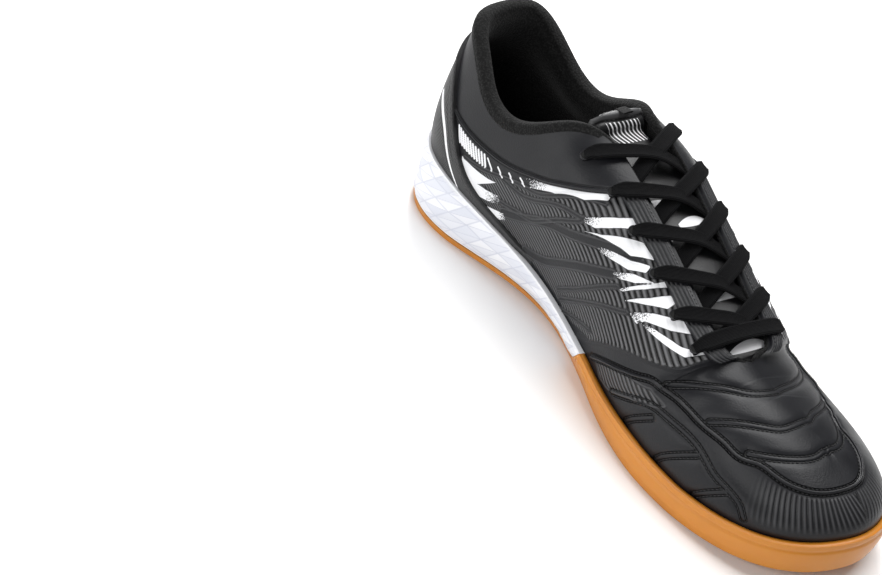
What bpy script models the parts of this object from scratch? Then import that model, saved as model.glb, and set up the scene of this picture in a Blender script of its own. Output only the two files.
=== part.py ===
"""Indoor soccer shoe for the left foot, as an assembly of separate solids.

Metres. +X points to the toe, +Y to the lateral side, +Z up. The origin lies on the floor under the middle of the shoe.
Everything is worked out on one closed ring of folds round the last: fold 0 is the toe tip, the medial folds run back
to the heel, and the lateral folds run forward to the tip again.
"""

from collections import namedtuple

import bmesh
import bpy
import numpy as np

# Driving sizes
SOLE_LENGTH = 0.290
BALL_WIDTH = 0.104
HEEL_STACK = 0.033
TOE_SPRING = 0.011
ARCH_LIFT = 0.0025
FLAT_SPOT = 0.06
CUP_DEPTH = 0.010
COLLAR_HEIGHT = 0.100
LACE_TURN = 0.12
RIM = 0.0024
WALL = 0.0019
COLLAR_PAD = 0.0055
GAP = 0.0003

GUM_SHEET = 0.0032
GROOVE_WIDTH = 0.0030
GROOVE_DEPTH = 0.0016
FACET = 0.0008
TREAD_ROUND = 0.0014

INSOLE_THICKNESS = 0.0040
INSOLE_CLEARANCE = 0.0012
OVERLAY = 0.0011
EYESTAY_WIDTH = 0.0095

TONGUE_THICKNESS = 0.0042
TONGUE_HALF_WIDTH = 0.0240
TONGUE_RISE = 0.0120
TONGUE_CLIMB = (-0.42, 0.0, 0.91)
TONGUE_SWEEP = 0.005
TONGUE_CLEARANCE = 0.0014

EYELET_INSET = 0.0128
EYELET_RADIUS = 0.0019
LACE_WIDTH = 0.0068
LACE_THICKNESS = 0.0017
LACE_REACH = 0.34
LACE_LIFT = 0.0010

# Outline of the sole: shares of the length from the heel, and of the ball width out from the middle line.
Outline = namedtuple("Outline", "station tread_medial tread_lateral edge_medial edge_lateral")
OUTLINE = [
    Outline(1.000, 0.048, -0.048, 0.048, -0.048),
    Outline(0.986, 0.212, 0.110, 0.212, 0.115),
    Outline(0.955, 0.335, 0.228, 0.338, 0.232),
    Outline(0.903, 0.430, 0.336, 0.433, 0.341),
    Outline(0.828, 0.488, 0.428, 0.492, 0.434),
    Outline(0.741, 0.508, 0.486, 0.512, 0.492),
    Outline(0.662, 0.488, 0.496, 0.496, 0.502),
    Outline(0.579, 0.418, 0.470, 0.450, 0.486),
    Outline(0.500, 0.322, 0.408, 0.382, 0.446),
    Outline(0.414, 0.244, 0.340, 0.330, 0.396),
    Outline(0.328, 0.232, 0.306, 0.310, 0.364),
    Outline(0.241, 0.268, 0.312, 0.315, 0.350),
    Outline(0.155, 0.316, 0.334, 0.328, 0.346),
    Outline(0.083, 0.306, 0.317, 0.304, 0.315),
    Outline(0.030, 0.220, 0.230, 0.218, 0.228),
    Outline(0.005, 0.098, 0.104, 0.097, 0.103),
    Outline(0.000, 0.000, 0.000, 0.000, 0.000),
]

# Side view of the sole: the tread's rise in shares of toe spring and arch lift, the wall in shares of the heel
# stack, and how far the foot bed lies under the wall's edge, in shares of the cup's depth.
Level = namedtuple("Level", "station spring arch wall cup")
LEVELS = [
    Level(0.00, 0.36, 0.0, 0.91, 1.00),
    Level(0.06, 0.06, 0.0, 0.94, 1.00),
    Level(0.14, 0.00, 0.0, 0.91, 1.00),
    Level(0.25, 0.00, 0.7, 0.76, 0.95),
    Level(0.36, 0.00, 1.0, 0.64, 0.85),
    Level(0.46, 0.00, 0.2, 0.56, 0.75),
    Level(0.56, 0.00, 0.0, 0.49, 0.66),
    Level(0.68, 0.00, 0.0, 0.45, 0.60),
    Level(0.78, 0.07, 0.0, 0.44, 0.58),
    Level(0.88, 0.34, 0.0, 0.45, 0.58),
    Level(0.95, 0.68, 0.0, 0.47, 0.58),
    Level(1.00, 1.00, 0.0, 0.49, 0.58),
]

# The gum wall rises between these stations from a thin sheet under the white midsole to the whole wall.
GUM_RISE_START = 0.460
GUM_RISE_END = 0.555

# Folds of the upper from the toe tip to the heel: share of the sole's edge where the fold starts, its top point in
# shares of the sole length, ball width and collar height, the end angle and its tilt to the lateral side, the start
# angles of both sides, the Bezier reaches in shares of the chord, how far the fold follows the instep's slope, and
# the share of the collar pad. Angles are in degrees.
Fold = namedtuple("Fold", "edge x medial lateral z end tilt lean lean_lateral reach_low reach_high crown pad")
FOLDS = [
    Fold(0.000, 0.876, 0.055, -0.055, 0.470, 0, 0, 14, 14, 0.30, 0.42, 1.0, 0.0),
    Fold(0.060, 0.868, 0.055, -0.055, 0.478, 0, 3, 14, 4, 0.30, 0.42, 1.0, 0.0),
    Fold(0.125, 0.850, 0.060, -0.060, 0.492, 0, 7, 13, -8, 0.31, 0.43, 1.0, 0.0),
    Fold(0.190, 0.822, 0.071, -0.071, 0.513, 0, 10, 12, -18, 0.33, 0.43, 1.0, 0.0),
    Fold(0.250, 0.790, 0.082, -0.082, 0.536, 0, 12, 10, -26, 0.35, 0.42, 1.0, 0.0),
    Fold(0.305, 0.757, 0.093, -0.093, 0.562, 0, 12, 9, -30, 0.36, 0.41, 1.0, 0.0),
    Fold(0.345, 0.730, 0.101, -0.101, 0.583, 0, 11, 8, -30, 0.37, 0.40, 1.0, 0.0),
    Fold(0.372, 0.721, 0.155, -0.040, 0.592, 6, 9, 8, -28, 0.37, 0.40, 1.0, 0.0),
    Fold(0.400, 0.704, 0.191, 0.018, 0.610, 8, 7, 7, -24, 0.38, 0.41, 0.8, 0.0),
    Fold(0.450, 0.645, 0.183, 0.058, 0.665, 10, 4, 6, -16, 0.38, 0.42, 0.6, 0.0),
    Fold(0.505, 0.561, 0.154, 0.090, 0.760, 11, 2, 5, -9, 0.38, 0.42, 0.4, 0.0),
    Fold(0.560, 0.477, 0.129, 0.122, 0.850, 12, 0, 5, -4, 0.38, 0.42, 0.2, 0.0),
    Fold(0.610, 0.407, 0.111, 0.152, 0.915, 14, 0, 5, 0, 0.37, 0.42, 0.1, 0.1),
    Fold(0.655, 0.345, 0.118, 0.168, 0.955, 24, 0, 5, 3, 0.36, 0.41, 0.0, 0.4),
    Fold(0.700, 0.297, 0.190, 0.222, 0.940, 56, 0, 6, 5, 0.35, 0.37, 0.0, 0.8),
    Fold(0.750, 0.248, 0.250, 0.258, 0.838, 74, 0, 7, 7, 0.35, 0.34, 0.0, 1.0),
    Fold(0.800, 0.193, 0.272, 0.278, 0.758, 82, 0, 8, 8, 0.35, 0.34, 0.0, 1.0),
    Fold(0.850, 0.136, 0.266, 0.272, 0.790, 84, 0, 9, 9, 0.35, 0.34, 0.0, 1.0),
    Fold(0.900, 0.086, 0.232, 0.240, 0.900, 86, 0, 10, 10, 0.35, 0.34, 0.0, 1.0),
    Fold(0.950, 0.040, 0.165, 0.170, 0.985, 88, 0, 11, 11, 0.36, 0.34, 0.0, 1.0),
    Fold(1.000, 0.024, 0.000, 0.000, 0.995, 90, 0, 12, 12, 0.37, 0.34, 0.0, 1.0),
]
HEEL_FOLD = len(FOLDS) - 1
RING = 2 * HEEL_FOLD
THROAT_FOLD = 6
STEPS = 2
TURN_FADE = (12.0, 15.0)
RISES = (0.0, 0.10, 0.22, 0.36, 0.50, 0.64, 0.77, 0.89, 1.0)
PAD_START = 0.45

# Tread lines: shares of the length, and of the ball width towards the lateral side.
CHEVRON = ((0.555, -0.50), (0.745, -0.03), (0.575, 0.54))
SHANK_FRONT = ((0.440, -0.29), (0.408, -0.19), (0.437, 0.00), (0.390, 0.24), (0.400, 0.36))
SHANK_REAR = ((0.186, -0.30), (0.222, -0.15), (0.278, 0.00), (0.240, 0.10), (0.219, 0.19), (0.211, 0.31))
SHANK_MARK = ((0.383, 0.01), (0.317, -0.13), (0.317, 0.13))

# Folds and rises of the overlays and the lace
COUNTER_EDGE = (
    (13.0, 0.04), (14.5, 0.07), (15.5, 0.12), (16.2, 0.22), (17.2, 0.45), (18.0, 0.585), (19.0, 0.75), (20.0, 0.85)
)
COUNTER_START = 0.02
EYESTAY_FOLDS = (7.0, 11.5)
EYELET_FOLDS = (12.9, 11.7, 10.75, 9.9, 9.1, 8.25)
TONGUE_FOLDS = (4.6, 13.0)

MATERIALS = {
    "gum_rubber": ((0.78, 0.36, 0.08), 0.45),
    "white_foam": ((0.86, 0.86, 0.88), 0.55),
    "black_leather": ((0.022, 0.022, 0.024), 0.42),
    "black_textile": ((0.012, 0.012, 0.013), 0.85),
    "black_moulded": ((0.030, 0.030, 0.033), 0.50),
    "black_cord": ((0.010, 0.010, 0.010), 0.80),
}


def spline(knots, values, at):
    """Natural cubic spline through values, a row for each knot."""
    knots, at = np.asarray(knots, float), np.asarray(at, float)
    rows = np.asarray(values, float).reshape(len(knots), -1)
    step = np.diff(knots)
    slope = np.diff(rows, axis=0) / step[:, None]
    system, right = np.eye(len(knots)), np.zeros_like(rows)
    for i in range(1, len(knots) - 1):
        system[i, i - 1 : i + 2] = step[i - 1], 2 * (step[i - 1] + step[i]), step[i]
        right[i] = 6 * (slope[i] - slope[i - 1])
    bend = np.linalg.solve(system, right)
    at = np.clip(at, knots[0], knots[-1])
    i = np.clip(np.searchsorted(knots, at, side="right") - 1, 0, len(knots) - 2)
    width = step[i][..., None]
    before = (knots[i + 1] - at)[..., None] / width
    after = 1 - before
    found = before * rows[i] + after * rows[i + 1]
    found += ((before**3 - before) * bend[i] + (after**3 - after) * bend[i + 1]) * width**2 / 6
    return found.reshape(at.shape + np.shape(values)[1:])


def closed_spline(values, at):
    """Smooth closed curve through values, one for each whole number, read at any numbers."""
    count, wrap = len(values), 5
    index = np.arange(-wrap, count + wrap + 1)
    return spline(index, np.asarray(values, float)[index % count], np.mod(at, count))


def unit(vectors):
    return vectors / np.maximum(np.linalg.norm(vectors, axis=-1, keepdims=True), 1e-12)


def ease(value, start, end):
    """0 before start, 1 after end, and smooth between them."""
    share = np.clip((np.asarray(value, float) - start) / (end - start), 0, 1)
    return share * share * (3 - 2 * share)


def ring_of(medial, lateral):
    """Values of the medial rows from toe to heel, then of the lateral rows back to the toe."""
    return list(medial) + list(lateral)[-2:0:-1]


def outline_table(medial_name, lateral_name, samples=60):
    """Dense points of a closed outline with their place on the ring: 0 at the toe tip, 1 at the heel, 2 at the tip."""
    x = ring_of([r.station for r in OUTLINE], [r.station for r in OUTLINE])
    y = ring_of([-getattr(r, medial_name) for r in OUTLINE], [getattr(r, lateral_name) for r in OUTLINE])
    at = np.arange(len(x) * samples + 1) / samples
    points = closed_spline(np.column_stack([np.multiply(x, SOLE_LENGTH), np.multiply(y, BALL_WIDTH)]), at)
    run = np.concatenate([[0], np.cumsum(np.linalg.norm(np.diff(points, axis=0), axis=1))])
    heel = samples * (len(OUTLINE) - 1)
    place = np.where(run <= run[heel], run / run[heel], 1 + (run - run[heel]) / (run[-1] - run[heel]))
    return place, points


TREAD_OUTLINE = outline_table("tread_medial", "tread_lateral")
EDGE_OUTLINE = outline_table("edge_medial", "edge_lateral")


def on_outline(table, place):
    """Points of an outline, x and y, at places on the ring."""
    known, points = table
    place = np.mod(place, 2)
    return np.stack([np.interp(place, known, points[:, i]) for i in (0, 1)], axis=-1)


def inward(table, place, reach=0.004):
    """Level unit vectors into the shoe, square to an outline."""
    along = unit(on_outline(table, place + reach) - on_outline(table, place - reach))
    return np.stack([along[..., 1], -along[..., 0]], axis=-1)


def level(name, x):
    station = [row.station for row in LEVELS]
    return spline(station, [getattr(row, name) for row in LEVELS], x / SOLE_LENGTH)


def tread_height(x):
    spring = np.maximum(level("spring", x) - FLAT_SPOT, 0)
    return TOE_SPRING * spring + ARCH_LIFT * np.clip(level("arch", x) - FLAT_SPOT, 0, 1)


def edge_height(x):
    return tread_height(x) + HEEL_STACK * level("wall", x)


def seat_height(x):
    return edge_height(x) - CUP_DEPTH * level("cup", x)


def gum_height(x):
    """Top of the gum: a thin sheet under the midsole, and above the whole wall in front."""
    rise = ease(x / SOLE_LENGTH, GUM_RISE_START, GUM_RISE_END)
    return tread_height(x) + GUM_SHEET + rise * HEEL_STACK


def fold_values(at):
    """Each column of FOLDS at places on the ring of folds, with the top point's y signed."""
    signed = {
        "y": ring_of([-row.medial for row in FOLDS], [row.lateral for row in FOLDS]),
        "edge": ring_of([row.edge for row in FOLDS], [2 - row.edge for row in FOLDS]),
    }
    trend = np.arange(RING) / HEEL_FOLD
    found = {"edge": closed_spline(signed["edge"] - trend, at) + np.mod(at, RING) / HEEL_FOLD}
    found["y"] = closed_spline(signed["y"], at)
    found["end"] = closed_spline(ring_of([r.end - r.tilt for r in FOLDS], [r.end + r.tilt for r in FOLDS]), at)
    found["lean"] = closed_spline(ring_of([r.lean for r in FOLDS], [r.lean_lateral for r in FOLDS]), at)
    for name in ("x", "z", "reach_low", "reach_high", "crown", "pad"):
        column = [getattr(row, name) for row in FOLDS]
        found[name] = closed_spline(ring_of(column, column), at)
    return found


def instep_slope(x):
    """Rise per length of the ridge over the toes, towards the toe."""
    ridge = FOLDS[THROAT_FOLD :: -1]
    run = np.array([row.x for row in ridge]) * SOLE_LENGTH
    height = np.array([row.z for row in ridge]) * COLLAR_HEIGHT
    return np.interp(x, run, np.gradient(height, run))


def surface(fold, rise):
    """Outer surface of the upper: points at places on the ring, and from the sole's edge (0) to the top (1)."""
    fold, rise = np.broadcast_arrays(np.asarray(fold, float), np.asarray(rise, float))
    row = fold_values(fold)
    place = row["edge"]
    into = inward(EDGE_OUTLINE, place)
    foot = on_outline(EDGE_OUTLINE, place) + into * (RIM + GAP)
    start = np.concatenate([foot, edge_height(foot[..., 0])[..., None]], axis=-1)
    out = row["y"] * BALL_WIDTH
    turned = out * LACE_TURN * (1 - ease(np.minimum(fold % RING, RING - fold % RING), *TURN_FADE))
    top = np.stack([row["x"] * SOLE_LENGTH + turned, out, row["z"] * COLLAR_HEIGHT], axis=-1)
    end, lean = np.radians(row["end"])[..., None], np.radians(row["lean"])[..., None]
    slope = instep_slope(top[..., 0]) * np.clip(row["crown"], 0, 1) * into[..., 0]
    up = np.array([0.0, 0.0, 1.0])
    level_in = np.concatenate([into, np.zeros_like(into[..., :1])], axis=-1)
    leave = up * np.cos(lean) - level_in * np.sin(lean)
    arrive = unit(level_in * np.cos(end) + up * (np.sin(end) + slope[..., None] * np.cos(end)))
    chord = np.linalg.norm(top - start, axis=-1, keepdims=True)
    low = start + leave * chord * row["reach_low"][..., None]
    high = top - arrive * chord * row["reach_high"][..., None]
    t = rise[..., None]
    return (1 - t) ** 3 * start + 3 * t * (1 - t) ** 2 * low + 3 * t * t * (1 - t) * high + t**3 * top


def surface_normal(fold, rise, step=0.02):
    """Unit vectors out of the upper's surface."""
    rise = np.asarray(rise, float)
    along = surface(fold + step, rise) - surface(fold - step, rise)
    low, high = np.clip(rise - step, 0, 1), np.clip(rise + step, 0, 1)
    return unit(np.cross(surface(fold, high) - surface(fold, low), along))


def rise_from_top(fold, distance):
    """The rise at which a fold's surface is this far below its top."""
    rises = np.linspace(0, 1, 60)
    found = []
    for f, d in np.broadcast(fold, distance):
        line = surface(f, rises)[::-1]
        run = np.concatenate([[0], np.cumsum(np.linalg.norm(np.diff(line, axis=0), axis=1))])
        found.append(1 - np.interp(d, run, rises))
    return np.reshape(found, np.broadcast(fold, distance).shape)


def point_normals(points, faces):
    """Unit normals at the points of a net of four-sided faces."""
    normals = np.zeros_like(points)
    corners = points[faces]
    face = np.cross(corners[:, 2] - corners[:, 0], corners[:, 3] - corners[:, 1])
    for i in range(4):
        np.add.at(normals, faces[:, i], face)
    return unit(normals)


def ring_net(rows, shared=None, flip=False):
    """Faces between closed rows of points. shared maps a row and a place on the ring to a point's number."""
    count = len(rows[0])
    number = shared or (lambda row, place: row * count + place)
    faces = []
    for row in range(len(rows) - 1):
        for place in range(count):
            after = (place + 1) % count
            face = [number(row, place), number(row + 1, place), number(row + 1, after), number(row, after)]
            faces.append(face[::-1] if flip else face)
    return faces


def strip_net(rows, columns, offset=0, flip=False):
    """Faces of an open net of points, rows by columns."""
    faces = []
    for row in range(rows - 1):
        for column in range(columns - 1):
            a = offset + row * columns + column
            face = [a, a + columns, a + columns + 1, a + 1]
            faces.append(face[::-1] if flip else face)
    return faces


def material(name):
    colour, roughness = MATERIALS[name]
    made = bpy.data.materials.get(name) or bpy.data.materials.new(name)
    made.use_nodes = True
    shader = made.node_tree.nodes["Principled BSDF"]
    shader.inputs["Base Color"].default_value = (*colour, 1)
    shader.inputs["Roughness"].default_value = roughness
    made.diffuse_color = (*colour, 1)
    return made


def add_object(name, points, faces, material_name=None):
    """A mesh object, smooth but for its sharp edges. Without a material it is a cutter."""
    mesh = bpy.data.meshes.new(name)
    mesh.from_pydata([tuple(p) for p in np.asarray(points, float)], [], [list(map(int, f)) for f in faces])
    kit = bmesh.new()
    kit.from_mesh(mesh)
    bmesh.ops.remove_doubles(kit, verts=kit.verts, dist=1e-6)
    bmesh.ops.recalc_face_normals(kit, faces=kit.faces)
    kit.to_mesh(mesh)
    kit.free()
    made = bpy.data.objects.new(name, mesh)
    bpy.context.scene.collection.objects.link(made)
    if material_name:
        mesh.shade_smooth()
        mesh.set_sharp_from_angle(angle=np.radians(40))
        mesh.materials.append(material(material_name))
    else:
        made.hide_render = True
        made.display_type = "WIRE"
    return made


def cut(target, cutter, operation="DIFFERENCE"):
    modifier = target.modifiers.new(cutter.name, "BOOLEAN")
    modifier.operation = operation
    modifier.solver = "EXACT"
    modifier.object = cutter


def spine_number(count, last_row, until):
    """Numbers of points in a net whose last row is shared across the middle line, as far back as a place."""

    def number(row, place):
        if row == last_row and min(place, count - place) <= until:
            place = min(place, count - place)
        return row * count + place

    return number


def ring_places():
    return np.arange(RING * STEPS) / STEPS


def level_ring(table, place, inset, height):
    """A closed row of points at an inset from an outline, at a height that is a function of x."""
    flat = on_outline(table, place) + inward(table, place) * inset
    return np.column_stack([flat, height(flat[:, 0])])


def spine_row(outer, margin):
    """Points on the middle line between the two sides of a closed row, margin shares in from its ends."""
    count = len(outer)
    place = np.arange(count)
    other = (-place) % count
    middle = (outer + outer[other]) / 2
    start, end = middle[0, 0], middle[count // 2, 0]
    middle[:, 0] = start + (end - start) * margin + (middle[:, 0] - start) * (1 - 2 * margin)
    return middle


def sole_wall_rows(place):
    """Rows up the side of the sole, from the tread's edge to the rim, with the facets of the white part."""
    tread = on_outline(TREAD_OUTLINE, place)
    edge = on_outline(EDGE_OUTLINE, place)
    out = -inward(EDGE_OUTLINE, place)
    index = np.arange(len(place))
    faceted = 1 - ease(edge[:, 0] / SOLE_LENGTH, GUM_RISE_START - 0.02, GUM_RISE_END)
    rows = []
    for number, share in enumerate((0.07, 0.22, 0.45, 0.68, 0.86, 1.0)):
        flat = tread + (edge - tread) * ease(share, 0, 1)
        bulge = 0.0012 * np.sin(np.pi * share)
        turn = np.where((index // 2 + number) % 2 == 0, 1.0, -1.0)
        relief = FACET * turn * faceted * (0.2 < share < 0.9)
        flat = flat + out * (bulge + relief)[:, None]
        base = tread_height(flat[:, 0])
        height = base + TREAD_ROUND * (share < 0.1) + (edge_height(edge[:, 0]) - base) * share * (share >= 0.1)
        rows.append(np.column_stack([flat, height]))
    return rows


def sole_body(name, material_name):
    """The whole sole as one closed body: tread, side wall, rim and foot bed."""
    place = fold_values(ring_places())["edge"]
    outer = level_ring(TREAD_OUTLINE, place, 0.0022, tread_height)
    middle = spine_row(outer, 0.04)
    middle[:, 2] = tread_height(middle[:, 0])
    half = outer * 0.5 + middle * 0.5
    half[:, 2] = tread_height(half[:, 0])
    bed_edge = level_ring(EDGE_OUTLINE, place, RIM + 0.0011, seat_height)
    bed_spine = spine_row(bed_edge, 0.04)
    bed_spine[:, 2] = seat_height(bed_spine[:, 0])
    rim = [level_ring(EDGE_OUTLINE, place, RIM, edge_height)]
    rows = [middle, half, outer, *sole_wall_rows(place), *rim, bed_edge, bed_spine]
    count, last = len(place), len(rows) - 1

    def number(row, at):
        if row in (0, last):
            at = min(at, count - at)
        return row * count + at

    return add_object(name, np.vstack(rows), ring_net(rows, number), material_name)


def gum_limit(name, lift, up):
    """A block above or below the line where gum meets foam, as a cutter."""
    stations = np.concatenate([np.linspace(-0.05, 0.43, 13), np.linspace(0.45, 0.57, 13), [0.70, 1.10]])
    run = stations * SOLE_LENGTH
    line = gum_height(np.clip(run, 0, SOLE_LENGTH)) + lift
    far = HEEL_STACK * 3 if up else -HEEL_STACK
    points, columns = [], len(run)
    for y in (-BALL_WIDTH, BALL_WIDTH):
        for height in (line, np.full(columns, far)):
            points += [(x, y, z) for x, z in zip(run, height, strict=True)]
    faces = []
    for i in range(columns - 1):
        near = [i, i + 1, columns + i + 1, columns + i]
        faces.append(near)
        faces.append([2 * columns + k for k in near[::-1]])
        faces.append([i, 2 * columns + i, 2 * columns + i + 1, i + 1])
        faces.append([columns + i, columns + i + 1, 3 * columns + i + 1, 3 * columns + i])
    for i in (0, columns - 1):
        faces.append([i, columns + i, 3 * columns + i, 2 * columns + i])
    return add_object(name, points, faces)


def groove_cutter():
    """Prisms along the main tread lines, as one cutter."""
    points, faces = [], []
    for line, closed in ((CHEVRON, False), (SHANK_FRONT, False), (SHANK_REAR, False), (SHANK_MARK, True)):
        path = np.array(line) * (SOLE_LENGTH, BALL_WIDTH)
        count = len(path)
        width = GROOVE_WIDTH if line is CHEVRON else GROOVE_WIDTH * 0.55
        before = np.roll(path, 1, axis=0) if closed else np.vstack([2 * path[0] - path[1], path[:-1]])
        after = np.roll(path, -1, axis=0) if closed else np.vstack([path[1:], 2 * path[-1] - path[-2]])
        one, two = unit(path - before), unit(after - path)
        across = unit(one + two)[:, ::-1] * (1, -1)
        share = np.maximum(np.einsum("ij,ij->i", across, two[:, ::-1] * (1, -1)), 0.4)
        offset = across * (width / 2 / share)[:, None]
        base = len(points)
        floor = tread_height(path[:, 0])
        for side in (offset, -offset):
            for height in (np.full(count, -2 * GROOVE_DEPTH), floor + GROOVE_DEPTH):
                points += [(*p, z) for p, z in zip(path + side, height, strict=True)]
        for i in range(count if closed else count - 1):
            j = (i + 1) % count
            for a, b in ((0, 1), (1, 3), (3, 2), (2, 0)):
                faces.append([base + a * count + i, base + a * count + j, base + b * count + j, base + b * count + i])
        for i in () if closed else (0, count - 1):
            faces.append([base + k * count + i for k in (0, 1, 3, 2)])
    return add_object("tread_lines", points, faces)


def build_sole():
    outsole = sole_body("outsole", "gum_rubber")
    cut(outsole, gum_limit("above_gum", 0, True))
    cut(outsole, groove_cutter())
    midsole = sole_body("midsole", "white_foam")
    cut(midsole, gum_limit("below_foam", GAP, False))


def wall_thickness(fold, rise):
    """Wall of the upper, thicker in the padded collar."""
    pad = np.clip(fold_values(fold)["pad"], 0, 1)
    return WALL + COLLAR_PAD * pad * ease(rise, PAD_START, 0.88) * (1 - 0.25 * ease(rise, 0.92, 1))


def upper_rows():
    """Outer and inner rows of the upper, from its tucked edge in the sole's cup to the top."""
    fold = ring_places()
    place = fold_values(fold)["edge"]
    tucked = level_ring(EDGE_OUTLINE, place, RIM + GAP + 0.0011, lambda x: seat_height(x) + GAP)
    outer = [tucked] + [surface(fold, rise) for rise in RISES]
    count, last = len(fold), len(outer) - 1
    until = THROAT_FOLD * STEPS
    faces = np.array(ring_net(outer, spine_number(count, last, until)))
    points = np.vstack(outer)
    for at in range(1, until + 1):
        points[last * count + count - at] = points[last * count + at]
    normal = point_normals(points, faces).reshape(len(outer), count, 3)
    for at in range(1, until + 1):
        normal[last, count - at] = normal[last, at]
    inner = [tucked - normal[1] * (1, 1, 0) * WALL]
    for row, rise in zip(range(1, len(outer)), RISES, strict=True):
        thick = wall_thickness(fold, rise)
        if row == 1:
            inner.append(outer[1] - unit(normal[1] * (1, 1, 0)) * WALL)
        else:
            inner.append(outer[row] - normal[row] * thick[:, None])
    return outer, inner, normal


def collar_roll(outer, inner, count):
    """A row that rounds the top edge between the outer and the inner face."""
    along = np.roll(outer, -1, axis=0) - np.roll(outer, 1, axis=0)
    across = inner - outer
    up = unit(np.cross(across, along))
    up *= np.where(up[:, 2:] < 0, -1, 1)
    height = np.linalg.norm(across, axis=1, keepdims=True) * 0.26
    return (outer + inner) / 2 + up * height


def build_upper():
    outer, inner, _ = upper_rows()
    count = len(outer[0])
    until = THROAT_FOLD * STEPS
    roll = collar_roll(outer[-1], inner[-1], count)
    points = np.vstack([*outer, *inner, roll])
    last = len(outer) - 1
    shared = spine_number(count, last, until)
    faces = ring_net(outer, shared)
    base = len(outer) * count
    faces += [[base + k for k in face] for face in ring_net(inner, shared, flip=True)]
    top = 2 * len(outer) * count
    for place in range(count):
        after = (place + 1) % count
        faces.append([place, after, base + after, base + place])
        if until <= place < count - until:
            a, b = shared(last, place), shared(last, after)
            middle = [place, after if after != count - until else until]
            faces.append([a, b, top + middle[1], top + middle[0]])
            faces.append([top + middle[0], top + middle[1], base + b, base + a])
    return add_object("upper", points, faces, "black_leather")


def eyelet_places():
    """Ring places and rises of the eyelets, rows from the top down, medial then lateral."""
    fold = np.array(EYELET_FOLDS)
    pairs = np.column_stack([fold, RING - fold])
    return pairs, rise_from_top(pairs, EYELET_INSET)


def cut_eyelets(targets):
    """Holes through the eyestays and the upper, as one cutter of short round pegs."""
    places, rises = eyelet_places()
    centres = surface(places, rises).reshape(-1, 3)
    normals = surface_normal(places, rises).reshape(-1, 3)
    sides, reach = 8, 0.006
    points, faces = [], []
    for centre, normal in zip(centres, normals, strict=True):
        u = unit(np.cross(normal, (0, 1, 0)))
        v = np.cross(normal, u)
        base = len(points)
        for end in (-reach, reach):
            for i in range(sides):
                turn = 2 * np.pi * i / sides
                ring = (u * np.cos(turn) + v * np.sin(turn)) * EYELET_RADIUS
                points.append(centre + normal * end + ring)
        for i in range(sides):
            j = (i + 1) % sides
            faces.append([base + i, base + j, base + sides + j, base + sides + i])
        faces.append([base + i for i in range(sides)])
        faces.append([base + sides + i for i in range(sides)])
    cutter = add_object("eyelet_pegs", points, faces)
    for target in targets:
        cut(target, cutter)


def slab(name, low, high, material_name):
    """A closed solid between two open nets of points with the same rows and columns."""
    rows, columns = low.shape[:2]
    count = rows * columns
    faces = strip_net(rows, columns) + strip_net(rows, columns, count, flip=True)
    border = [(0, c) for c in range(columns)] + [(r, columns - 1) for r in range(1, rows)]
    border += [(rows - 1, c) for c in range(columns - 2, -1, -1)] + [(r, 0) for r in range(rows - 2, 0, -1)]
    numbers = [r * columns + c for r, c in border]
    for a, b in zip(numbers, numbers[1:] + numbers[:1], strict=True):
        faces.append([a, b, count + b, count + a])
    points = np.vstack([low.reshape(-1, 3), high.reshape(-1, 3)])
    return add_object(name, points, faces, material_name)


def overlay(name, fold, rise, material_name):
    """A solid that lies on the upper over a net of places and rises."""
    face, normal = surface(fold, rise), surface_normal(fold, rise)
    return slab(name, face + normal * 2 * GAP, face + normal * (2 * GAP + OVERLAY), material_name)


def build_counter():
    """Moulded overlay round the heel, its top edge sweeping down to the sole towards the waist."""
    edge = np.array(COUNTER_EDGE)
    half = np.arange(edge[0, 0], HEEL_FOLD + 0.01, 1 / STEPS)
    fold = np.concatenate([half[:-1], [HEEL_FOLD], RING - half[-2::-1]])
    reach = spline(edge[:, 0], edge[:, 1], np.minimum(fold, RING - fold))
    share = np.linspace(0, 1, 5)[:, None]
    overlay("heel_counter", fold[None, :] + 0 * share, COUNTER_START + (reach - COUNTER_START) * share, "black_moulded")


def build_eyestays():
    """Ribbed strips along both sides of the throat."""
    made = []
    for name, mirrored in (("eyestay_medial", False), ("eyestay_lateral", True)):
        fold = np.linspace(*EYESTAY_FOLDS, 11)
        fold = RING - fold if mirrored else fold
        top = rise_from_top(fold, 0.0012)
        bottom = rise_from_top(fold, 0.0012 + EYESTAY_WIDTH)
        share = np.linspace(0, 1, 4)[:, None]
        made.append(overlay(name, fold[None, :] + 0 * share, bottom + (top - bottom) * share, "black_moulded"))
    return made


def crown_line(fold, depth, samples=17):
    """Points across the shoe at a fold, over the throat from the medial to the lateral side."""
    rises = np.linspace(0.5, 1, samples)
    medial, lateral = surface(fold, rises), surface(RING - fold, rises)
    reach = np.linalg.norm(lateral[-1] - medial[-1]) * (0.33 - 0.15 * ease(fold, 10, 13))
    t = np.linspace(0, 1, samples)[:, None]
    low = medial[-1] + unit(medial[-1] - medial[-2]) * reach
    high = lateral[-1] + unit(lateral[-1] - lateral[-2]) * reach
    arch = (1 - t) ** 3 * medial[-1] + 3 * t * (1 - t) ** 2 * low + 3 * t * t * (1 - t) * high + t**3 * lateral[-1]
    line = np.vstack([medial, arch[1:-1], lateral[::-1]])
    run = np.concatenate([[0], np.cumsum(np.linalg.norm(np.diff(line, axis=0), axis=1))])
    centre = run[-1] / 2
    across = np.linspace(-1, 1, 11)
    at = centre + across * depth
    return np.column_stack([np.interp(at, run, line[:, i]) for i in range(3)])


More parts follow.
